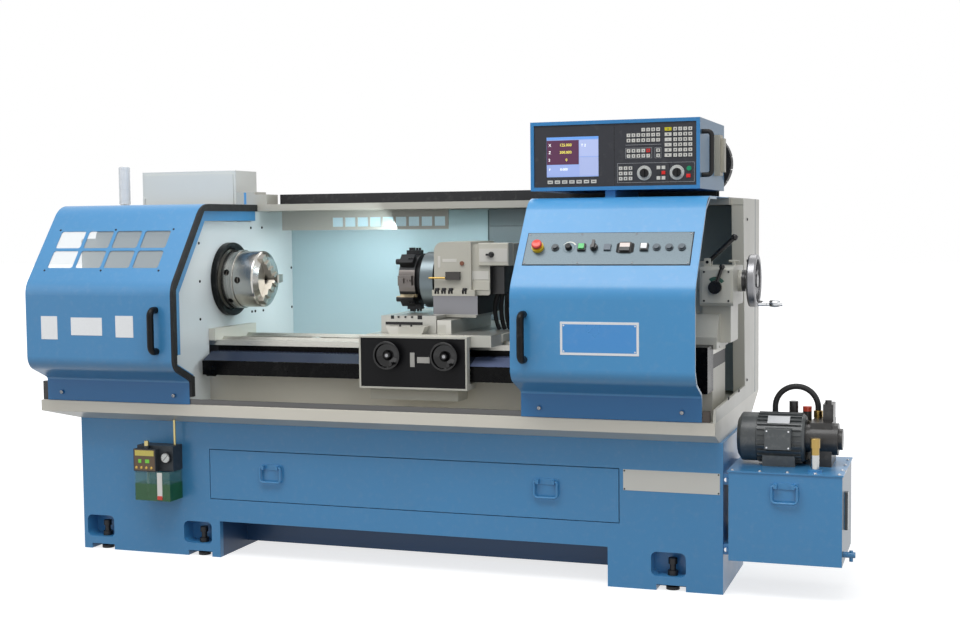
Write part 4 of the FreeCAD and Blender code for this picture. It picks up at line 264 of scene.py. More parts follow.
def clear(name, colour, rough, alpha, filled=None):
    """Clear sheet: thin and tinted, with a shine and faint scratches; filled is (level, liquid, its alpha)."""
    t = Tree(name)
    marks = t.noise(60, 5, 0.7, (1, 4, 4))
    base = t.mix(t.band(marks, 0.4, 0.7), shade(colour, 0.95), shade(colour, 1.05))
    if filled:
        level, liquid, dense = filled
        below = t.inside((N, N, N), (N, N, level))
        base = t.mix(below, base, liquid)
        alpha = t.blend(below, alpha, dense)
    t.feed("Base Color", base)
    t.feed("Roughness", t.band(marks, 0.5, 0.8, rough, rough + 0.12))
    t.feed("Alpha", alpha)
    t.feed("Specular IOR Level", 0.6)
    return t.material


def lit(name, colour, strength, texture=0.05):
    """A lamp or display that shines by itself."""
    t = Tree(name)
    fine = t.noise(300, 2, 0.5)
    shown = t.mix(t.band(fine, 0.3, 0.7), shade(colour, 1 - texture), shade(colour, 1 + texture))
    t.feed("Base Color", shown)
    t.feed("Emission Color", shown)
    t.feed("Emission Strength", strength)
    t.feed("Roughness", 0.3)
    return t.material


def box_zone(low, high, *finish, slope=False):
    return (lambda t: t.inside(low, high, slope), *finish)


def spot_zone(x, z, radius, *finish):
    """A round zone seen from the front, as deep as the node."""
    return (lambda t: t.near((x, None, z), radius, (0, 2)), *finish)


def shaded_sockets(x, first, count, reach, radius):
    """Painted shade: dark zones inside the round sockets sunk in the side of a body turned on the spindle line."""
    zones = []
    for i in range(count):
        a = math.radians(first + i * 360 / count)
        centre = (x, SPINDLE_Y + reach * math.cos(a), SPINDLE_Z + reach * math.sin(a))
        zones.append((lambda t, centre=centre: t.near(centre, radius, (0, 1, 2)), srgb(26, 25, 24), 0.5, 0.0))
    return zones


BLUE = srgb(66, 138, 190)
CREAM = srgb(203, 201, 190)
BLACK = srgb(24, 24, 26)
CHROME = srgb(212, 213, 215)
BRASS = srgb(178, 148, 82)
IRON = srgb(196, 194, 186)
# a side of a zone that is left open
N = None

FLANGE_BOLTS = (1716, 1745, 1775, 1835)
# the gear lever's axis on the tailstock
LEVER_X, LEVER_Z = 2858, 1144
# control face: its front, the plane that its keys stand in front of, and the keys' own front
FACE_FRONT, KEY_FOOT, KEY_FRONT = 189, 188.6, 186.5
TOP_ROW, ROW, COLUMN, KEY_HEIGHT = 1742, 19.6, 19, 15
DIALS, DIAL_Z = (2599, 2724), 1579
# what stands out of the control box's right end starts here
BOX_END = 2812.2


def give(node, material):
    """A CAD node's object gets its finished material."""
    thing = nodes[node]
    thing.data.materials.clear()
    thing.data.materials.append(material)


def key_box(x, z, wide=16):
    return (x - wide / 2, N, z - KEY_HEIGHT / 2), (x + wide / 2, KEY_FOOT, z + KEY_HEIGHT / 2)


blue = paint("blue_paint", BLUE)
steel_screw = bare_metal("steel_screws", CHROME, 0.26, (40, 40, 40), 30, 0.03)
guard_screw = bare_metal("guard_screws", srgb(138, 140, 143), 0.24, (40, 40, 40), 30, 0.03)
black_screw = bare_metal("black_screws", srgb(46, 46, 48), 0.42, (40, 40, 40), 30, 0.03, metal=0.7)
plate_metal = bare_metal("bare_plate", srgb(196, 198, 200), 0.34, (3, 60, 60), 60, 0.05, stain=0.05)
glossy_black = moulded("glossy_black", srgb(18, 18, 20), 0.28, 0.04, coat=0.15, shine=0.3)
rubber = moulded("rubber", srgb(32, 33, 34), 0.62, 0.2, shine=0.25)

for name in ("chip_drawer", "drawer_handle_left", "drawer_handle_right", "tank_handle"):
    give(name, blue)
# the skirts under the guards' fold stand in shade, painted darker as painted shade; the right guard's blue is a little
# lighter, as painted light
for name, colour in (("left_door", BLUE), ("right_door", srgb(68, 146, 200))):
    give(name, paint(name + "_paint", colour, zones=[box_zone((N, N, N), (N, N, 748), srgb(24, 108, 165), 0.4, 0.0)]))
# base: painted shade, a dark blue inside the arch and on the cross member under it
give("base_cabinet", paint("base_paint_and_shade", BLUE, zones=[
    box_zone((790, 130, N), (2476, 600, 153.5), srgb(14, 66, 108), 0.45, 0.0),
]))
give("headstock_wall", paint("wall_paint", srgb(214, 221, 223), 0.42, 0.08))
give("headstock", paint("cream_paint", CREAM, 0.42, 0.08))
# end wall: painted shade, grey on its strip from y 1000 to 1031.5
give("end_wall", paint("end_wall_paint_and_shade", CREAM, 0.42, 0.08, zones=[
    box_zone((N, 1000, N), (2990, 1031.5, N), srgb(128, 132, 132), 0.42, 0.0),
]))
give("rear_guard", paint("rear_paint", srgb(176, 198, 205), 0.42, 0.07, zones=[
    box_zone((1692, N, N), (N, N, N), srgb(112, 124, 130), 0.42),
]))
give("electrical_cabinet", paint("grey_cabinet", srgb(208, 210, 206), 0.42, 0.08))
give("roof_beam", paint("roof_paint", srgb(174, 172, 163), 0.42, 0.08, zones=[
    box_zone((664, 600, 1492), (676, 624, 1545), BLUE, 0.3),
]))
# chip tray: the guards' bare rail, and its two stops
give("chip_tray", paint("tray_paint", srgb(222, 217, 204), 0.4, 0.08, wear=0.08, zones=[
    box_zone((N, 12, 658.5), (N, 30, 690), srgb(88, 88, 88), 0.35, 0.8),
    box_zone((N, N, 659.5), (30, 60, N), BLACK, 0.5, 0.0),
    box_zone((2850, N, 659.5), (N, 60, N), srgb(62, 52, 45), 0.5, 0.0),
]))
give("levelling_screws", bare_metal("blackened_screws", srgb(44, 44, 46), 0.42, (30, 30, 2), 60, 0.08, metal=0.6))
# bed: ground ways on top, black sides under them, and cream from the screw cover's edge down
give("bed", bare_metal("ground_ways", IRON, 0.3, (1, 70, 70), 30, 0.07, stain=0.1, metal=0.75, zones=[
    box_zone((N, N, N), (N, N, 885.5), srgb(7, 7, 8), 0.5, 0.0),
    box_zone((N, N, N), (N, N, 831), srgb(222, 219, 208), 0.45, 0.0),
]))
# screw cover: black, with a blue-grey painted reflection on its sloping top and a brighter painted reflection from x
# 1912 to 2080
give("screw_cover", paint("cover_black_and_reflection", srgb(6, 6, 7), 0.26, 0.04, coat=0.0, dust=0.015, shine=0.08, zones=[
    box_zone((N, 121.5, 833), (2700, 259, N), srgb(46, 54, 70), 0.24, 0.0),
    box_zone((1912, 121.5, 833), (2080, 259, N), srgb(96, 106, 134), 0.22, 0.0),
]))
give("chuck_guard_ring", paint("ring_paint", srgb(10, 13, 14), 0.34, 0.08, coat=0.05, shine=0.15))
give("left_door_seal", rubber)
give("left_door_window", clear("window_sheet", srgb(222, 234, 240), 0.05, 0.22))
for name in ("left_door_handle", "right_door_handle"):
    give(name, moulded(name + "_black", srgb(8, 8, 9), 0.34, 0.16, coat=0.0, shine=0.16))
# spindle and chuck: turned steel, with painted shade inside their sockets
give("spindle", turned_metal("spindle_steel_and_socket_shade", srgb(168, 166, 161), 0.24, 0.15, shaded_sockets(750, 165, 6, 117, 16.5)))
give("chuck_body", turned_metal("chuck_steel_and_socket_shade", srgb(186, 184, 179), 0.2, 0.12, shaded_sockets(801, 180, 3, 110, 18.2)))
for i in (1, 2, 3):
    give("chuck_jaw_%d" % i, bare_metal("jaw_steel_%d" % i, srgb(178, 173, 164), 0.3, (20, 40, 40), 50, 0.08,
                                        stain=0.4))
give("work_lamp", paint("lamp_paint", srgb(168, 168, 160), 0.45, 0.06, coat=0.1))
give("beacon", clear("beacon_tube", srgb(226, 230, 234), 0.1, 0.62))
give("cable_track", paint("track_paint", srgb(34, 34, 36), 0.5, 0.1, coat=0.05, shine=0.3))
give("drag_chain", moulded("chain_links", srgb(26, 26, 28), 0.5, 0.15, shine=0.25))
# saddle: the ground top, and the painted dovetail in front of the cross slide
give("saddle", paint("saddle_paint", CREAM, 0.4, 0.08, zones=[
    box_zone((N, N, 954.4), (N, N, N), IRON, 0.3, 0.7),
    box_zone((1600, N, 955.2), (1790, N, 990), srgb(188, 186, 176), 0.4, 0.0),
]))
give("apron", paint("apron_paint", CREAM, 0.42, 0.08, zones=[
    box_zone((1464, N, 748), (1909, 99, 944), srgb(14, 14, 16), 0.42, 0.0),
], coat=0.0, shine=0.15))
for name, hub in (("left_handwheel", 1586), ("right_handwheel", 1828)):
    give(name, moulded(name + "_black", srgb(5, 5, 6), 0.1, 0.04, coat=0.0, shine=0.45, zones=[
        spot_zone(hub, 876, 6.5, srgb(150, 150, 152), 0.25, 1.0),
    ]))
# cross slide: the turret's riser, and its right end
give("cross_slide", bare_metal("ground_slide", srgb(182, 181, 174), 0.34, (2, 40, 40), 40, 0.08, stain=0.25,
                               metal=0.65, zones=[
    box_zone((1690, N, 1026), (N, N, N), srgb(132, 132, 136), 0.36, 0.8),
    box_zone((1886.4, N, 1026.5), (N, N, N), srgb(26, 26, 28), 0.45, 0.0),
]))
# turret housing: catch, pipe, plug, brake, and painted shade in the pockets of the flange bolts
give("turret_housing", paint("housing_paint_and_pocket_shade", srgb(186, 183, 171), 0.44, 0.08, wear=0.05, zones=[
    box_zone((1752, N, 1166), (1817, 299.5, 1202), srgb(42, 38, 34), 0.5, 0.0),
    box_zone((N, 280, 1168), (1753.5, 294, 1184), BRASS, 0.28, 1.0),
    box_zone((1812, N, 1222), (1834, 299.5, 1246), srgb(118, 70, 48), 0.5, 0.0),
    box_zone((1926, 317, N), (N, N, 1221.5), srgb(14, 14, 15), 0.42, 0.0),
    *(box_zone((x - 10.4, 286.2, 1109.8), (x + 10.4, 301, 1126.5), srgb(36, 34, 32), 0.5, 0.0)
      for x in FLANGE_BOLTS),
]))
# turret disc: the bright tool holder in front, the edge under it, and the hub, polished metal tinted blue-grey as a
# painted reflection of the walls
give("turret_disc", bare_metal("turret_steel_and_reflection", srgb(38, 39, 41), 0.34, (20, 20, 20), 30, 0.06, stain=0.2, metal=0.6,
                               zones=[
    box_zone((1500, N, 1118), (1610, 340, 1206), srgb(112, 107, 104), 0.3, 0.9),
    box_zone((1500, N, 1094), (1612, 345, 1106), srgb(186, 172, 142), 0.35, 0.6),
    box_zone((1637, N, N), (N, N, N), srgb(104, 114, 118), 0.34, 0.9),
]))
give("tailstock", paint("tailstock_paint", CREAM, 0.42, 0.08, zones=[
    box_zone((N, N, N), (2700, N, 935), srgb(46, 47, 50), 0.4, 0.0),
    box_zone((2938, N, N), (N, N, N), srgb(16, 16, 18), 0.34, 0.0),
    spot_zone(LEVER_X, LEVER_Z, 46, CREAM, 0.4, 0.0),
]))
give("quill", turned_metal("quill_steel", srgb(190, 190, 190), 0.16, 0.2))
give("tail_handwheel", bare_metal("wheel_aluminium", srgb(142, 142, 144), 0.32, (20, 20, 20), 40, 0.06, stain=0.1,
                                  zones=[box_zone((2999, N, N), (N, N, 1100), CHROME, 0.12, 1.0)]))
give("gear_lever", glossy_black)
give("clamp_lever", glossy_black)
# control box: its right end, painted a lighter grey-blue as a painted reflection, the side handle and the connector
give("control_box", paint("control_box_paint_and_reflection", srgb(58, 128, 184), 0.36, 0.05, coat=0.1, shine=0.25, zones=[
    box_zone((2811.5, N, N), (BOX_END, N, N), srgb(96, 134, 166), 0.4, 0.0),
    box_zone((BOX_END, N, N), (N, 300, N), srgb(14, 14, 15), 0.5, 0.0),
    box_zone((BOX_END, 400, N), (N, N, N), srgb(184, 178, 162), 0.45, 0.0),
]))
give("control_face", moulded("face_plate", srgb(46, 47, 52), 0.46, 0.08, shine=0.3, zones=[
    box_zone((N, N, N), (N, KEY_FOOT, N), srgb(205, 203, 196), 0.5),
    box_zone(*key_box(2691, TOP_ROW, 29), srgb(196, 184, 40), 0.45),
    box_zone(*key_box(2615, TOP_ROW - 4 * ROW), srgb(205, 52, 48), 0.45),
    box_zone(*key_box(2673, DIAL_Z), srgb(214, 44, 40), 0.4),
    box_zone(*key_box(2654, DIAL_Z), srgb(44, 45, 48), 0.45),
    box_zone(*key_box(2768, 1566, 22), srgb(220, 40, 38), 0.4),
    spot_zone(2770, 1593, 9.5, srgb(24, 140, 96), 0.4),
    *(spot_zone(x, DIAL_Z, 28, srgb(196, 197, 193), 0.5) for x in DIALS),
]))
give("control_screen", lit("screen_back", srgb(140, 166, 220), 0.3, 0.02))
for name in ("feed_override_knob", "speed_override_knob", "speed_knob"):
    give(name, moulded(name + "_black", srgb(16, 16, 18), 0.35, 0.08, coat=0.05, shine=0.25))
give("selector_lever", moulded("selector_black", srgb(20, 20, 22), 0.3, 0.05, coat=0.3))
# Switch panel. Each row is from x to x, from a height above the slope: the stop's collar, the frames of the start
# and white buttons, the selector's collar and the socket, then its lid, then the lamp, the indicator and lenses.
give("switch_panel", bare_metal("panel_steel", srgb(90, 106, 114), 0.3, (2, 60, 60), 50, 0.02, stain=0.08, metal=0.25,
                                zones=[
    *(box_zone((x0, N, height), (x1, N, N), *finish, slope=True) for x0, x1, height, *finish in (
        (2213, 2263, 3.2, srgb(222, 190, 36), 0.35, 0.0),
        (2391, 2423, 3.2, srgb(34, 36, 38), 0.35, 0.0),
        (2627, 2659, 3.2, srgb(44, 46, 48), 0.35, 0.0),
        (2436, 2472, 3.5, srgb(60, 62, 64), 0.3, 1.0),
        (2546, 2598, 3.2, srgb(30, 29, 30), 0.35, 0.0))),
    box_zone((2553, 184, 14.6), (2591, 202, N), srgb(222, 208, 202), 0.4, 0.0, slope=True),
    *(box_zone((x0, N, 3.2), (x1, N, N), colour, 0.3, 0.2, slope=True) for x0, x1, colour in (
        (2280, 2326, srgb(48, 54, 58)), (2486, 2524, srgb(70, 80, 90)), (2672, N, srgb(58, 68, 76)))),
]))
give("emergency_stop", moulded("stop_red", srgb(226, 62, 48), 0.3, 0.03, coat=0.4))
give("start_button", moulded("button_green", srgb(40, 186, 84), 0.25, 0.03, coat=0.4))
give("white_button", moulded("button_white", srgb(236, 238, 238), 0.25, 0.03, coat=0.4))
# tank: the right end, the filler's neck and its cap, the flanges' bolts and the level gauge
give("hydraulic_tank", paint("tank_paint", BLUE, 0.36, 0.05, zones=[
    box_zone((3345.7, N, N), (3346.4, N, 469), srgb(72, 96, 116), 0.4, 0.0),
    box_zone((3200, N, 487), (3290, 190, N), srgb(176, 178, 178), 0.2, 1.0),
    box_zone((3200, N, 538), (3290, 190, N), srgb(164, 138, 80), 0.28, 1.0),
    box_zone((2900, N, N), (2925, 105.5, N), CHROME, 0.3, 1.0),
    box_zone((3347.5, 160, N), (N, 200, N), srgb(60, 66, 70), 0.2, 0.2),
]))
give("pump_motor", paint("motor_paint", srgb(80, 84, 85), 0.4, 0.1, dust=0.12))
# pump: the bare manifold, the solenoids, and the red cap of one
give("hydraulic_pump", paint("pump_black", srgb(36, 34, 33), 0.44, 0.12, wear=0.1, zones=[
    box_zone((N, 390, N), (3210, N, 628), srgb(150, 146, 138), 0.36, 1.0),
    box_zone((N, 390, 628), (3210, N, 676), srgb(60, 58, 56), 0.4, 0.2),
    box_zone((3160, 395, 662), (3205, N, N), srgb(214, 78, 56), 0.35, 0.0),
]))
give("pressure_hose", moulded("hose_rubber", srgb(36, 36, 37), 0.55, 0.3, zones=[
    box_zone((N, N, N), (3100, N, 502), CHROME, 0.25, 1.0),
    box_zone((3200, N, N), (N, N, 667), BRASS, 0.3, 1.0),
]))
give("lubricator", paint("lubricator_grey", srgb(50, 55, 60), 0.45, 0.1, coat=0.05, shine=0.3, zones=[
    box_zone((N, N, 477), (N, N, N), srgb(184, 170, 120), 0.3, 1.0),
]))
give("lubricator_reservoir", clear("reservoir_green", srgb(104, 160, 158), 0.08, 0.3,
                                   (318, srgb(34, 104, 50), 0.72)))


# ---------------------------------------------------------------- small pieces
# edges of a smooth piece stay sharp from this angle
SHARP = math.radians(32)
# fronts that pieces stand on: the cross slide's, and the lubricator's panel
CROSS_FRONT, PANEL_FRONT = 200, -0.8


def add_piece(name, data, body):
    thing = bpy.data.objects.new(name, data)
    scene.collection.objects.link(thing)
    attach(thing, body)


def circle(centre, side, up, radius, segments):
    """Points round a circle, in metres."""
    turns = (2 * math.pi * k / segments for k in range(segments))
    return [centre + (side * math.cos(a) + up * math.sin(a)) * radius for a in turns]


class Pieces:
    """Small pieces of one finish on one body, gathered in one mesh."""

    def __init__(self, name, body, material, smooth=True):
        self.name, self.body, self.material, self.smooth = name, body, material, smooth
        self.mesh = bmesh.new()

    def turn(self, centre, axis, profile, segments):
        """A turned piece: profile is (radius, height) in millimetres, height along the axis from the centre."""
        axis = Vector(axis).normalized()
        side = axis.orthogonal().normalized()
        up = axis.cross(side)
        middle = place(*centre)
        rings = []
        for radius, height in profile:
            level = middle + axis * height / 1000
            points = circle(level, side, up, radius / 1000, segments) if radius > 0 else [level]
            rings.append([self.mesh.verts.new(p) for p in points])
        for low, high in zip(rings, rings[1:]):
            for k in range(segments):
                n = (k + 1) % segments
                if len(low) == 1 and len(high) > 1:
                    self.mesh.faces.new((low[0], high[k], high[n]))
                elif len(high) == 1 and len(low) > 1:
                    self.mesh.faces.new((low[k], low[n], high[0]))
                elif len(low) > 1:
                    self.mesh.faces.new((low[k], low[n], high[n], high[k]))

    def slab(self, corners, thickness, out, trim=0.0):
        """A flat plate from its corners in millimetres, standing up by its thickness, its edge trimmed a little."""
        out = Vector(out).normalized()
        points = [place(*c) for c in corners]
        middle = sum(points, Vector()) / len(points)
        lower = [self.mesh.verts.new(p) for p in points]
        rim = [self.mesh.verts.new(p + out * (thickness - trim) / 1000) for p in points]
        top = []
        for p in points:
            inward = (middle - p).normalized() * trim * 1.4 / 1000
            top.append(self.mesh.verts.new(p + inward + out * thickness / 1000))
        count = len(points)
        for a, b in ((lower, rim), (rim, top)):
            for k in range(count):
                n = (k + 1) % count
                self.mesh.faces.new((a[k], a[n], b[n], b[k]))
        self.mesh.faces.new(top)
        self.mesh.faces.new(lower[::-1])

    def tube(self, points, radius, segments):
        """A round tube through points in millimetres."""
        line = [place(*p) for p in points]
        previous = None
        side = None
        for i, p in enumerate(line):
            ahead = (line[min(i + 1, len(line) - 1)] - line[max(i - 1, 0)]).normalized()
            side = ahead.orthogonal().normalized() if side is None else (side - ahead * side.dot(ahead)).normalized()
            ring = [self.mesh.verts.new(q) for q in circle(p, side, ahead.cross(side), radius / 1000, segments)]
            if previous:
                for k in range(segments):
                    n = (k + 1) % segments
                    self.mesh.faces.new((previous[k], previous[n], ring[n], ring[k]))
            else:
                self.mesh.faces.new(ring[::-1])
            previous = ring
        self.mesh.faces.new(previous)

    def screw(self, centre, axis, radius, kind="dome"):
        """A screw's head; the profiles are in shares of its radius, but for the foot, which is 0.2 mm deep."""
        shapes = {
            "dome": ((14, (1, N), (1, 0.22), (0.86, 0.5), (0.5, 0.62), (0.44, 0.2), (0, 0.2)),),
            "cap": ((16, (1, N), (1, 0.9), (0.88, 1.05), (0.55, 1.05), (0.5, 0.45), (0, 0.45)),),
            "hex": ((16, (1.5, N), (1.5, 0.2), (1.15, 0.22)), (6, (1, 0), (1, 0.75), (0.88, 0.9), (0, 0.92))),
        }
        for segments, *profile in shapes[kind]:
            self.turn(centre, axis, [(radius * r, -0.2 if h is N else radius * h) for r, h in profile], segments)

    def mark(self, centre, degrees, inner, outer, half_width, thickness):
        """A short line on a dial that faces the front, pointing away from its centre."""
        a = math.radians(degrees)
        centre = Vector(centre)
        along = Vector((math.cos(a), 0, math.sin(a)))
        across = Vector((-math.sin(a), 0, math.cos(a))) * half_width
        self.slab([centre + along * inner - across, centre + along * outer - across,
                   centre + along * outer + across, centre + along * inner + across], thickness, FRONT)

    def finish(self, slot=None):
        data = bpy.data.meshes.new(self.name)
        bmesh.ops.recalc_face_normals(self.mesh, faces=self.mesh.faces)
        self.mesh.to_mesh(data)
        self.mesh.free()
        data.materials.append(self.material)
        if self.smooth:
            data.shade_smooth()
            data.set_sharp_from_angle(angle=SHARP)
        add_piece(self.name, data, self.body)


def slabs(name, body, material, *rows, out=FRONT, smooth=True, slot=None):
    """One piece of flat plates, each given as its corners, thickness and perhaps trim."""
    piece = Pieces(name, body, material, smooth)
    for corners, thickness, *trim in rows:
        piece.slab(corners, thickness, out, *trim)
    piece.finish(slot)


def screws(name, body, material, slot, *rows):
    """One piece of screws, each group given as places, axis, radius and perhaps kind."""
    piece = Pieces(name, body, material)
    for places, axis, *size in rows:
        for centre in places:
            piece.screw(centre, axis, *size)
    piece.finish(slot)


def turned(name, body, material, *rows, slot=None):
    """One piece of turned shapes, each given as centre, axis, profile and segments."""
    piece = Pieces(name, body, material)
    for row in rows:
        piece.turn(*row)
    piece.finish(slot)


# screws of the guards' rollers, window and panel
ROLLER_Y, ROLLER_Z = 4.9, 694
screws("left_guard_screws", "left door", guard_screw, "steel",
       ([(x, ROLLER_Y, ROLLER_Z) for x in (101, 647)], FRONT, 8))
screws("left_guard_window_screws", "left door", black_screw, "black_oxide",
       ([on_slope(x, along) for x, along in ((87, 295), (361, 295), (639, 295), (90, 85), (365, 85), (640, 85))],
        NORMAL, 4.5))
screws("right_guard_screws", "right door", guard_screw, "steel",
       ([(x, ROLLER_Y, ROLLER_Z) for x in (2231, 2777)], FRONT, 8),
       ([on_slope(x, along, 3) for x, along in ((2197, 120), (2197, 250), (2810, 120), (2810, 250), (2400, 250),
                                                (2607, 250), (2400, 120), (2607, 120))], NORMAL, 3.6))
# a thin dark rim round the switch panel
slabs("panel_dark_rim", "right door", rubber,
      ([on_slope(x, along) for x, along in ((2187, 110), (2820, 110), (2820, 260), (2187, 260))], 0.9, 0.2),
      out=NORMAL, smooth=False)
slabs("lock_surround", "right door", rubber,
      ([on_slope(x, along, 3) for x, along in ((2539, 170), (2543, 166), (2601, 166), (2605, 170), (2605, 204),
                                               (2601, 208), (2543, 208), (2539, 204))], 1.6, 0.4),
      out=NORMAL, smooth=False)

# turned-in edge of the right guard's open end, as y and z; its blue is painted lighter, as painted light
EDGE_X = 2849.7
outer = [(10, 662), (10, 744.7), (0.6, 759.3), (-88.5, 799.5), (-125, 856), (-125, 1115), (-104.9, 1175.2),
         (98.6, 1445.2), (186.4, 1489), (330, 1489)]
inner = [(21, 662), (21, 748), (7, 769), (-82, 809), (-114, 859), (-114, 1113), (-95, 1170), (106, 1437),
         (189, 1478), (330, 1478)]
slabs("right_guard_edge", "right door", paint("edge_painted_light", srgb(142, 176, 202), 0.4, 0.03),
      *(([(EDGE_X, *p) for p in (a, b, d, c)], 0.2) for a, b, c, d in zip(outer, outer[1:], inner, inner[1:])),
      out=RIGHT, smooth=False)

# bare plates on the guards and the base
slabs("left_guard_plates", "left door", plate_metal,
      *((upright(*span, GUARD_FRONT), 0.8, 0.3)
        for span in ((102, 182, 931, 1028), (248, 398, 950, 1024), (462, 546, 944, 1033))))
slabs("right_guard_plate", "right door", plate_metal, (upright(2352, 2647, 911, 1033, GUARD_FRONT), 1.2, 0.4))
slabs("right_guard_plate_face", "right door", paint("plate_blue", srgb(64, 142, 208), 0.3, 0.04, metal=0.2),
      (upright(2361, 2638, 920, 1024, GUARD_FRONT - 1.2), 0.3, 0.1))
screws("right_guard_plate_pins", "right door", steel_screw, "steel",
       ([(x, GUARD_FRONT - 1.5, z) for x in (2366, 2633) for z in (925, 1019)], FRONT, 3))
slabs("base_plate", "frame", paint("plate_white", srgb(222, 220, 212), 0.4, 0.05),
      (upright(2533, 2901, 377, 457, 104), 1.2, 0.4))
screws("base_plate_pins", "frame", black_screw, "black_oxide",
       ([(x, 102.7, z) for x in (2538, 2896) for z in (382, 452)], FRONT, 3.2))

# wall behind the chuck, end wall and rear guard
WALL_X, END_WALL_X = 695, 2900
screws("wall_screws", "frame", black_screw, "black_oxide",
       ([(WALL_X, y, z) for y, z in ((156, 1324), (157, 1163), (154, 1003), (619, 1386), (725, 1386), (613, 1007),
                                     (644, 1007), (722, 1006), (1016, 1193), (1014, 1005))], RIGHT, 6),
       ([(END_WALL_X, 780, z) for z in (735, 1230, 1400)], RIGHT, 6),
       ([(END_WALL_X, y, 715) for y in (300, 560)], RIGHT, 7))
slabs("rear_guard_seams", "frame", moulded("seam_grey", srgb(70, 84, 88), 0.6, 0.05),
      (upright(1688, 1694, 680, 1456, 1030), 0.5), (upright(1698, 2000, 1381, 1383, 1030), 0.4), smooth=False)

# turret and cross slide
slabs("servo_cover", "cross slide", paint("servo_paint", srgb(196, 193, 180), 0.44, 0.08, wear=0.05),
      (upright(1890, 2019, 1224, 1316, 362), 60, 3), (upright(1862, 1934, 1124, 1162, 315), 3, 0.8))
slabs("servo_plates", "cross slide", paint("plate_grey", srgb(208, 205, 197), 0.42, 0.04),
      (upright(1895, 2015, 1240, 1293, 302), 0.8, 0.2), (upright(1858, 1930, 1168, 1202, 314), 0.8, 0.2),
      (upright(1717, 1728, 1217, 1264, 300), 0.6, 0.2), (upright(1737, 1798, 1239, 1252, 300), 0.6, 0.2))
switch = Pieces("servo_switch", "cross slide", glossy_black)
switch.turn((1947, 301.2, 1269), FRONT, [(12, 0), (12, 3), (9, 4), (9, 13), (7.5, 15), (0, 15)], 20)
switch.slab(upright(1926, 1947, 1265, 1273, 297), 8, FRONT, 1)
switch.finish()
turned("turret_flange_bolts", "cross slide", black_screw,
       *(((x, 292, 1121), UP, [(9.5, 0), (9.5, 11), (8, 13), (0, 13)], 18) for x in FLANGE_BOLTS),
       slot="black_oxide")
# painted shade: thin black sheets on the cross slide's front, in its slot and gaps
slabs("cross_slide_slot_shade", "cross slide", glossy_black,
      *((upright(*span, CROSS_FRONT), 0.3)
        for span in ((1524, 1686, 988, 1000), (1548, 1562, 1012, 1026), (1664, 1684, 1011, 1027))), smooth=False)
screws("saddle_screws", "carriage", black_screw, "black_oxide",
       ([(x, 130, 990) for x in (1617, 1665)], FRONT, 4.2, "cap"))


def bend(a, b, c, d, steps=12):
    """Points along a smooth bend that starts at a towards b, and ends at d coming from c."""
    out = []
    for i in range(steps + 1):
        k = i / steps
        w = ((1 - k) ** 3, 3 * k * (1 - k) ** 2, 3 * k * k * (1 - k), k ** 3)
        out.append(tuple(sum(f * p[n] for f, p in zip(w, (a, b, c, d))) for n in range(3)))
    return out


# hoses from under the brake housing down to the saddle; each row is the x and y of its top, then three more x
hoses = Pieces("turret_hoses", "cross slide", rubber)
for x, y, lean, out, foot in ((1946, 398, 1918, 1914, 1932), (1958, 416, 1944, 1934, 1950),
                              (1970, 434, 1964, 1952, 1966), (1952, 452, 1984, 1976, 1982),
                              (1978, 400, 2002, 1996, 1994)):
    hoses.tube(bend((x, y, 1112), (lean, y + 8, 1066), (out, y + 30, 1010), (foot, y + 44, 957)), 9, 14)
hoses.finish()
screws("cross_slide_screws", "cross slide", black_screw, "black_oxide",
       ([(x, CROSS_FRONT, z) for x, z in ((1582, 1020), (1612, 1020), (1641, 1020), (1575, 976), (1540, 976))],
        FRONT, 4.2, "cap"))
turned("tail_wheel_grip", "tail wheel", bare_metal("grip_steel", srgb(190, 192, 194), 0.2, (2, 60, 60), 50, 0.03),
       ((3026, SPINDLE_Y, 1075), RIGHT, [(7, 0), (11.5, 3), (11.5, 6), (9, 9), (13, 20), (15.5, 34), (14.5, 48),
                                         (10, 59), (5, 64), (0, 65)], 24))

# display on the control screen, from its lower left corner: panes of light, and the words just off them
SCREEN_X, SCREEN_Z, SCREEN_Y = 2214, 1570, 189.9
PANE, WORD_LIFT = 0.3, 0.25
# the font's size for figures one unit high
FONT_SIZE = 1.38


def on_screen(name, u0, v0, u1, v1, colour, strength):
    slabs(name, "right door", lit(name + "_light", colour, strength, 0.01),
          (upright(SCREEN_X + u0, SCREEN_X + u1, SCREEN_Z + v0, SCREEN_Z + v1, SCREEN_Y), PANE),
          smooth=False, slot="display")


def screen_words(name, words, u, v, height, material):
    """Figures or letters on the screen; u and v are their lower left corner."""
    curve = bpy.data.curves.new(name + "_curve", "FONT")
    curve.body = words
    curve.size = height * FONT_SIZE / 1000
    curve.resolution_u = 2
    holder = bpy.data.objects.new(name + "_curve", curve)
    scene.collection.objects.link(holder)
    bpy.context.view_layer.update()
    data = bpy.data.meshes.new_from_object(holder.evaluated_get(bpy.context.evaluated_depsgraph_get()))
    bpy.data.objects.remove(holder)
    start = place(SCREEN_X + u, SCREEN_Y - PANE - WORD_LIFT, SCREEN_Z + v)
    data.transform(Matrix.Translation(start) @ Matrix((RIGHT, UP, FRONT)).transposed().to_4x4())
    data.name = name
    data.materials.clear()
    data.materials.append(material)
    add_piece(name, data, "right door")


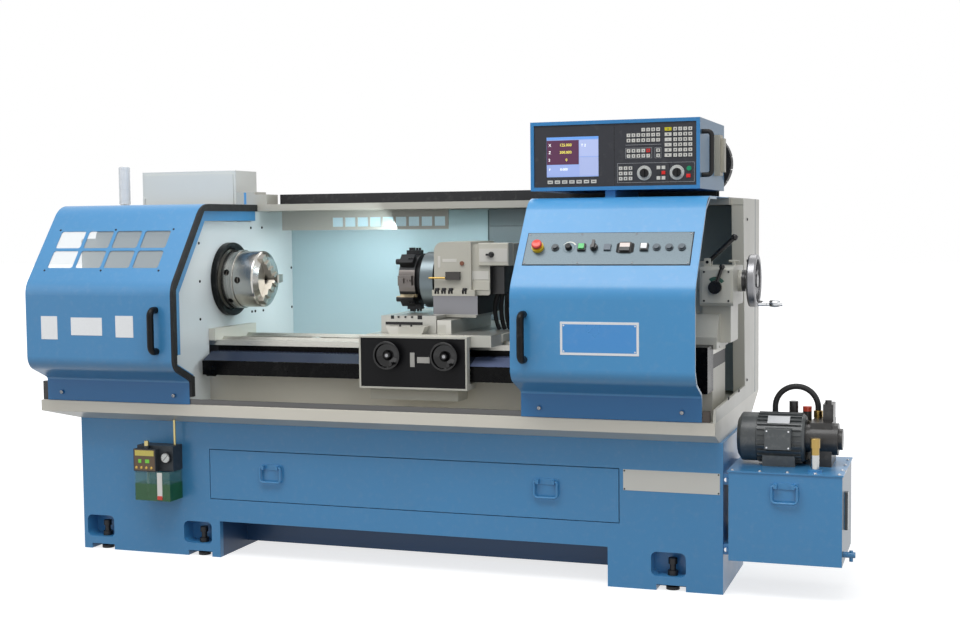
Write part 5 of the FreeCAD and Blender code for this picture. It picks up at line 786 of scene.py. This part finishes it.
on_screen("screen_header", 1, 144, 206, 153, srgb(104, 156, 226), 0.3)
on_screen("screen_readout", 1, 48, 129, 141, srgb(78, 34, 66), 0.3)
on_screen("screen_side", 131, 78, 206, 141, srgb(172, 184, 224), 0.27)
on_screen("screen_lower_side", 131, 4, 206, 75, srgb(166, 178, 218), 0.27)
on_screen("screen_lower", 1, 4, 129, 45, srgb(152, 170, 220), 0.27)
yellow_light = lit("figures_yellow", srgb(236, 226, 92), 0.8, 0.01)
white_light = lit("figures_white", srgb(250, 250, 250), 0.8, 0.01)
for k, (letter, figures, u, v) in enumerate((("X", "125.000", 52, 118), ("Z", "300.000", 52, 90), ("S", "0", 76, 61))):
    screen_words("readout_axis_%d" % k, letter, 8, v, 11, white_light)
    screen_words("readout_figures_%d" % k, figures, u, v, 11, yellow_light)
screen_words("readout_feed", "F", 10, 25, 9, white_light)
screen_words("readout_feed_figures", "0.000", 54, 25, 10, white_light)
screen_words("readout_tool", "T 2", 138, 116, 10, white_light)


# printed lines, scales and marks on the control face
HALF_LINE = 0.55


def face_line(x0, z0, x1, z1):
    if abs(x1 - x0) > abs(z1 - z0):
        return upright(x0, x1, z0 - HALF_LINE, z0 + HALF_LINE, FACE_FRONT)
    return upright(x0 - HALF_LINE, x0 + HALF_LINE, z0, z1, FACE_FRONT)


def face_frame(x0, z0, x1, z1):
    return [face_line(*ends) for ends in ((x0, z0, x1, z0), (x0, z1, x1, z1), (x0, z0, x0, z1), (x1, z0, x1, z1))]


slabs("face_lines", "right door", moulded("printed_lines", srgb(168, 170, 172), 0.5, 0.05),
      *((corners, 0.25) for corners in (*face_frame(2495, 1544, 2696, 1617), *face_frame(2696, 1544, 2790, 1617),
                                        *face_frame(2527, 1635, 2628, 1674), *face_frame(2640, 1635, 2664, 1674),
                                        face_line(2527, 1686, 2664, 1686))), smooth=False)
slabs("face_seam", "right door", glossy_black, (upright(2482, 2483.6, 1532, 1768, FACE_FRONT), 0.3), smooth=False)
ticks = Pieces("dial_scales", "right door", moulded("scale_marks", srgb(40, 40, 42), 0.5, 0.05), smooth=False)
for x in DIALS:
    for k in range(21):
        ticks.mark((x, 188, DIAL_Z), 225 - k * 13.5, 21.5 if k % 5 == 0 else 23.4, 26, 0.45, 0.25)
ticks.finish()

# Dashes on the keys under the screen, and on each other key a mark in one of a few sizes. The middles of these
# keys: the upper block, the block under it, the right block and the lower left one.
places = [(2539 + column * COLUMN, TOP_ROW - row * ROW)
          for row in range(3) for column in (range(3, 7) if row == 0 else range(7))]
places += [(2539 + column * COLUMN, TOP_ROW - row * ROW) for row in (4, 5) for column in (0, 1, 2, 3, 4, 6)]
for row in range(6):
    places += [(x, TOP_ROW - row * ROW) for x in (2691, *range(2718, 2718 + 4 * COLUMN, COLUMN))]
places += [(2508 + column * COLUMN, DIAL_Z + (1 - row) * ROW) for row in range(3) for column in range(3)]
marks = Pieces("key_marks", "right door", moulded("key_print", srgb(62, 62, 66), 0.5, 0.05), smooth=False)
for k in range(7):
    x = 2223 + k * 28.9
    marks.slab(upright(x, x + 12, 1549.5, 1552.5, KEY_FRONT), 0.2, FRONT)
for k, (x, z) in enumerate(places):
    tall = 5.0 + (k * 7 % 3)
    broad = 2.2 + (k * 5 % 4) * 0.9
    marks.slab(upright(x - broad / 2, x + broad / 2, z - tall / 2, z + tall / 2, KEY_FRONT), 0.2, FRONT)
marks.finish()

# the widening scale round the speed knob
scale = Pieces("speed_scale", "right door", paint("scale_white", srgb(226, 226, 214), 0.4, 0.03), smooth=False)
for k in range(16):
    a0, a1 = (math.radians(150 - 7.5 * (k + d)) for d in (0, 1))
    wide = 26.2 + k * 0.28
    scale.slab([on_slope(2357 + r * math.cos(a), 188 + r * math.sin(a), 3)
                for a, r in ((a0, 25), (a1, 25), (a1, wide), (a0, wide))], 0.25, NORMAL)
scale.finish()

# tailstock: scale plate behind the lever, and plate screws
TAIL_PLATE_Y = 257
arc = Pieces("gear_scale", "tailstock", paint("scale_green", srgb(48, 92, 78), 0.4, 0.04), smooth=False)
for k in range(12):
    a0, a1 = (math.radians(130 - 8 * (k + d)) for d in (0, 1))
    arc.slab([(LEVER_X + r * math.cos(a), TAIL_PLATE_Y, LEVER_Z + r * math.sin(a))
              for a, r in ((a0, 26), (a1, 26), (a1, 40), (a0, 40))], 0.4, FRONT)
arc.finish()
screws("tail_plate_screws", "tailstock", black_screw, "black_oxide",
       ([(x, TAIL_PLATE_Y, z) for x in (2814, 2907) for z in (1092, 1202)], FRONT, 4))

# apron: small bare plates
slabs("apron_tags", "carriage", paint("tag_grey", srgb(168, 166, 160), 0.4, 0.04),
      (upright(1676, 1695, 830, 887, 83), 0.8, 0.2), (upright(1706, 1759, 846, 870, 83), 0.8, 0.2))

# lubricator
slabs("lubricator_panel", "frame", moulded("panel_brown", srgb(106, 88, 70), 0.45, 0.05),
      (upright(454, 552, 374, 462, 0), 0.8, 0.2))
slabs("lubricator_display", "frame", lit("display_amber", srgb(198, 184, 92), 0.12),
      (upright(458, 548, 436, 459, PANEL_FRONT), 0.6, 0.2))
for k, (x, wide) in enumerate(((474, 14), (507, 19))):
    slabs("lubricator_lamp_%d" % k, "frame", lit("lamp_green_%d" % k, srgb(112, 196, 62), 0.2),
          (upright(x, x + wide, 406, 421, PANEL_FRONT), 1.4, 0.3))
turned("lubricator_keys", "frame", bare_metal("brass", BRASS, 0.3, (30, 30, 30), 40, 0.04),
       *(((464 + k * 24, PANEL_FRONT, 386), FRONT, [(6, 0), (6, 1.6), (5, 2.6), (0, 2.9)], 16) for k in range(4)))
GAUGE_X, GAUGE_Z = 592, 428
turned("lubricator_gauge_face", "frame", moulded("gauge_white", srgb(226, 228, 224), 0.3, 0.02, coat=0.5),
       ((GAUGE_X, 18, GAUGE_Z), FRONT, [(20, 0), (20, 0.6), (0, 0.7)], 28))
turned("lubricator_gauge_rim", "frame", black_screw,
       ((GAUGE_X, 18, GAUGE_Z), FRONT, [(24, -8), (24, 1.2), (22.6, 2.4), (20.2, 2.2), (19.6, 0.4)], 28))
needle = Pieces("lubricator_gauge_needle", "frame", black_screw, smooth=False)
needle.slab([(582, 17, 418), (584, 17, 417), (606, 17, 441), (605, 17, 442)], 0.4, FRONT)
for k in range(9):
    needle.mark((GAUGE_X, 17.2, GAUGE_Z), 225 - k * 33.75, 15, 18.5, 0.6, 0.3)
needle.finish()
pipe = Pieces("lubricator_suction_pipe", "frame", moulded("pipe_white", srgb(206, 222, 210), 0.3, 0.02))
pipe.tube([(494, 40, 252), (494, 40, 300), (494, 40, 369)], 5.5, 14)
pipe.finish()
turned("lubricator_strainer", "frame", black_screw,
       ((494, 40, 260), UP, [(0, 0), (11, 0), (12, 2), (12, 14), (10, 17), (0, 17)], 18),
       ((580, 40, 250), UP, [(0, 0), (8, 0), (8, 70), (0, 70)], 14))
slabs("lubricator_level", "frame", paint("strip_white", srgb(236, 232, 226), 0.4, 0.02),
      (upright(559, 583, 262, 366, 4), 1, 0.3))
slabs("lubricator_level_mark", "frame", paint("strip_red", srgb(214, 62, 44), 0.4, 0.02),
      (upright(559, 583, 252, 268, 3), 1.2, 0.3))

# motor's bare plate, on its round side, then the screws of its terminal box and of the tank's lid
MOTOR_Y, MOTOR_Z, MOTOR_RADIUS = 284, 576, 97
foot, crown, facing = (math.radians(v) for v in (40, 62, 51))
slabs("motor_plate", "frame", plate_metal,
      ([(x, MOTOR_Y - MOTOR_RADIUS * math.cos(a), MOTOR_Z + MOTOR_RADIUS * math.sin(a))
        for x, a in ((3060, foot), (3142, foot), (3142, crown), (3060, crown))], 1.0, 0.3),
      out=(0, -math.cos(facing), math.sin(facing)))
screws("motor_box_screws", "frame", steel_screw, "steel",
       ([(x, 160, z) for x in (3064, 3144) for z in (553, 615)], FRONT, 4))
screws("tank_lid_bolts", "frame", steel_screw, "steel",
       ([(x, 84, 476) for x in (2950, 3050, 3150, 3250, 3335)], UP, 5, "hex"),
       ([(3338, y, 476) for y in (180, 300, 420)], UP, 5, "hex"))

# lit windows of the lamp behind its visor
slabs("lamp_windows", "frame", lit("lamp_glow", srgb(172, 200, 208), 0.24),
      *((upright(x + 0.5, x + 49.5, 1386.5, 1427.5, 703), 0.6) for x in range(1064, 1064 + 9 * 61, 61)),
      smooth=False)


# ---------------------------------------------------------------- floor, light and camera
def seen_directly(tree):
    """1 for the rays that show the surroundings: from the camera, mirrored or through glass."""
    rays = tree.nodes.new("ShaderNodeLightPath")
    seen = rays.outputs["Is Camera Ray"]
    for kind in ("Is Glossy Ray", "Is Transmission Ray"):
        either = tree.nodes.new("ShaderNodeMath")
        either.operation = "MAXIMUM"
        tree.links.new(seen, either.inputs[0])
        tree.links.new(rays.outputs[kind], either.inputs[1])
        seen = either.outputs[0]
    return seen


# The floor shows nearly white, but sends little light back up, and it keeps the object's shadow.
FLOOR_REACH = 40
FLOOR_BOUNCE = (0.22, 0.22, 0.22, 1)
floor_data = bpy.data.meshes.new("floor")
floor_data.from_pydata([(x * FLOOR_REACH, y * FLOOR_REACH, 0) for x, y in ((-1, -1), (1, -1), (1, 1), (-1, 1))], [],
                       [(0, 1, 2, 3)])
floor = bpy.data.objects.new("floor", floor_data)
scene.collection.objects.link(floor)
t = Tree("studio_floor")
seen = seen_directly(t.tree)
speckle = t.mix(t.band(t.noise(2, 3, 0.5), 0.3, 0.7), (0.46, 0.46, 0.46, 1), (0.49, 0.49, 0.49, 1))
t.feed("Base Color", t.mix(seen, FLOOR_BOUNCE, speckle))
x, y, z = t.xyz()
away = t.math("SQRT", t.math("ADD", t.math("MULTIPLY", x, x), t.math("MULTIPLY", y, y)))
t.feed("Roughness", 0.85)
t.feed("Specular IOR Level", 0.1)
t.feed("Emission Color", (1, 1, 1, 1))
t.feed("Emission Strength", t.math("MULTIPLY", seen, t.band(away, 2.0, 6.0, 0.74, 1.0)))
floor_data.materials.append(t.material)

# The world lights softly, and shows white.
world = bpy.data.worlds.new("studio")
scene.world = world
world.use_nodes = True
tree = world.node_tree
tree.nodes.clear()
blend = tree.nodes.new("ShaderNodeMixShader")
tree.links.new(seen_directly(tree), blend.inputs[0])
for i, (colour, strength) in enumerate((((0.93, 0.96, 1.0, 1), 0.42), ((1, 1, 1, 1), 1.0)), start=1):
    back = tree.nodes.new("ShaderNodeBackground")
    back.inputs[0].default_value = colour
    back.inputs[1].default_value = strength
    tree.links.new(back.outputs[0], blend.inputs[i])
tree.links.new(blend.outputs[0], tree.nodes.new("ShaderNodeOutputWorld").inputs[0])


def softbox(name, where, target, size, power, colour=(1, 1, 1)):
    """A rectangular lamp that the camera doesn't see; size is across and along, in metres."""
    light = bpy.data.lights.new(name, "AREA")
    light.shape = "RECTANGLE"
    light.size, light.size_y = size
    light.energy = power
    light.color = colour
    thing = bpy.data.objects.new(name, light)
    scene.collection.objects.link(thing)
    thing.location = where
    thing.rotation_euler = (Vector(target) - Vector(where)).to_track_quat("-Z", "Y").to_euler()
    thing.visible_camera = False


softbox("key", (-0.3, -2.4, 5.0), (0, -0.2, 0.8), (5.0, 2.4), 178)
softbox("fill_left", (-5.0, -4.0, 2.8), (0, 0, 0.9), (3.5, 3.5), 38)
softbox("fill_right", (4.2, -4.4, 2.8), (0, 0, 0.9), (3.5, 3.5), 40)
softbox("back_top", (0.5, 3.2, 4.6), (0, 0.3, 0.8), (4.5, 2.0), 60)
softbox("work_light", (-0.26, 0.262, 1.366), (-0.26, 0.42, 0.9), (1.1, 0.05), 2.4, (0.80, 0.97, 1.0))
softbox("work_light_left", (-0.3, 0.1, 1.36), (-1.0, 0.05, 1.1), (0.5, 0.1), 2.6, (0.86, 0.97, 1.0))

# The camera as fitted to the photograph: its place, its turn, and its focal length in the frame's pixels.
CAMERA_PLACE = (3766.9, -5132.9, 1396.2)
YAW, PITCH, ROLL = (math.radians(v) for v in (19.0, 3.9, -0.6))
FOCAL_PIXELS, FRAME_PIXELS, SENSOR = 1421.4, 960, 36
camera_data = bpy.data.cameras.new("camera")
camera_data.sensor_width = SENSOR
camera_data.lens = FOCAL_PIXELS / FRAME_PIXELS * SENSOR
camera_data.clip_end = 100
camera = bpy.data.objects.new("camera", camera_data)
scene.collection.objects.link(camera)
ahead = Vector((-math.sin(YAW) * math.cos(PITCH), math.cos(YAW) * math.cos(PITCH), -math.sin(PITCH)))
right = Vector((math.cos(YAW), math.sin(YAW), 0))
up = right.cross(ahead)
turned_right = right * math.cos(ROLL) + up * math.sin(ROLL)
turned_up = -right * math.sin(ROLL) + up * math.cos(ROLL)
camera.matrix_world = Matrix.Translation(place(*CAMERA_PLACE)) @ Matrix(
    (turned_right, turned_up, -ahead)).transposed().to_4x4()
scene.camera = camera
scene.view_settings.view_transform = "Standard"
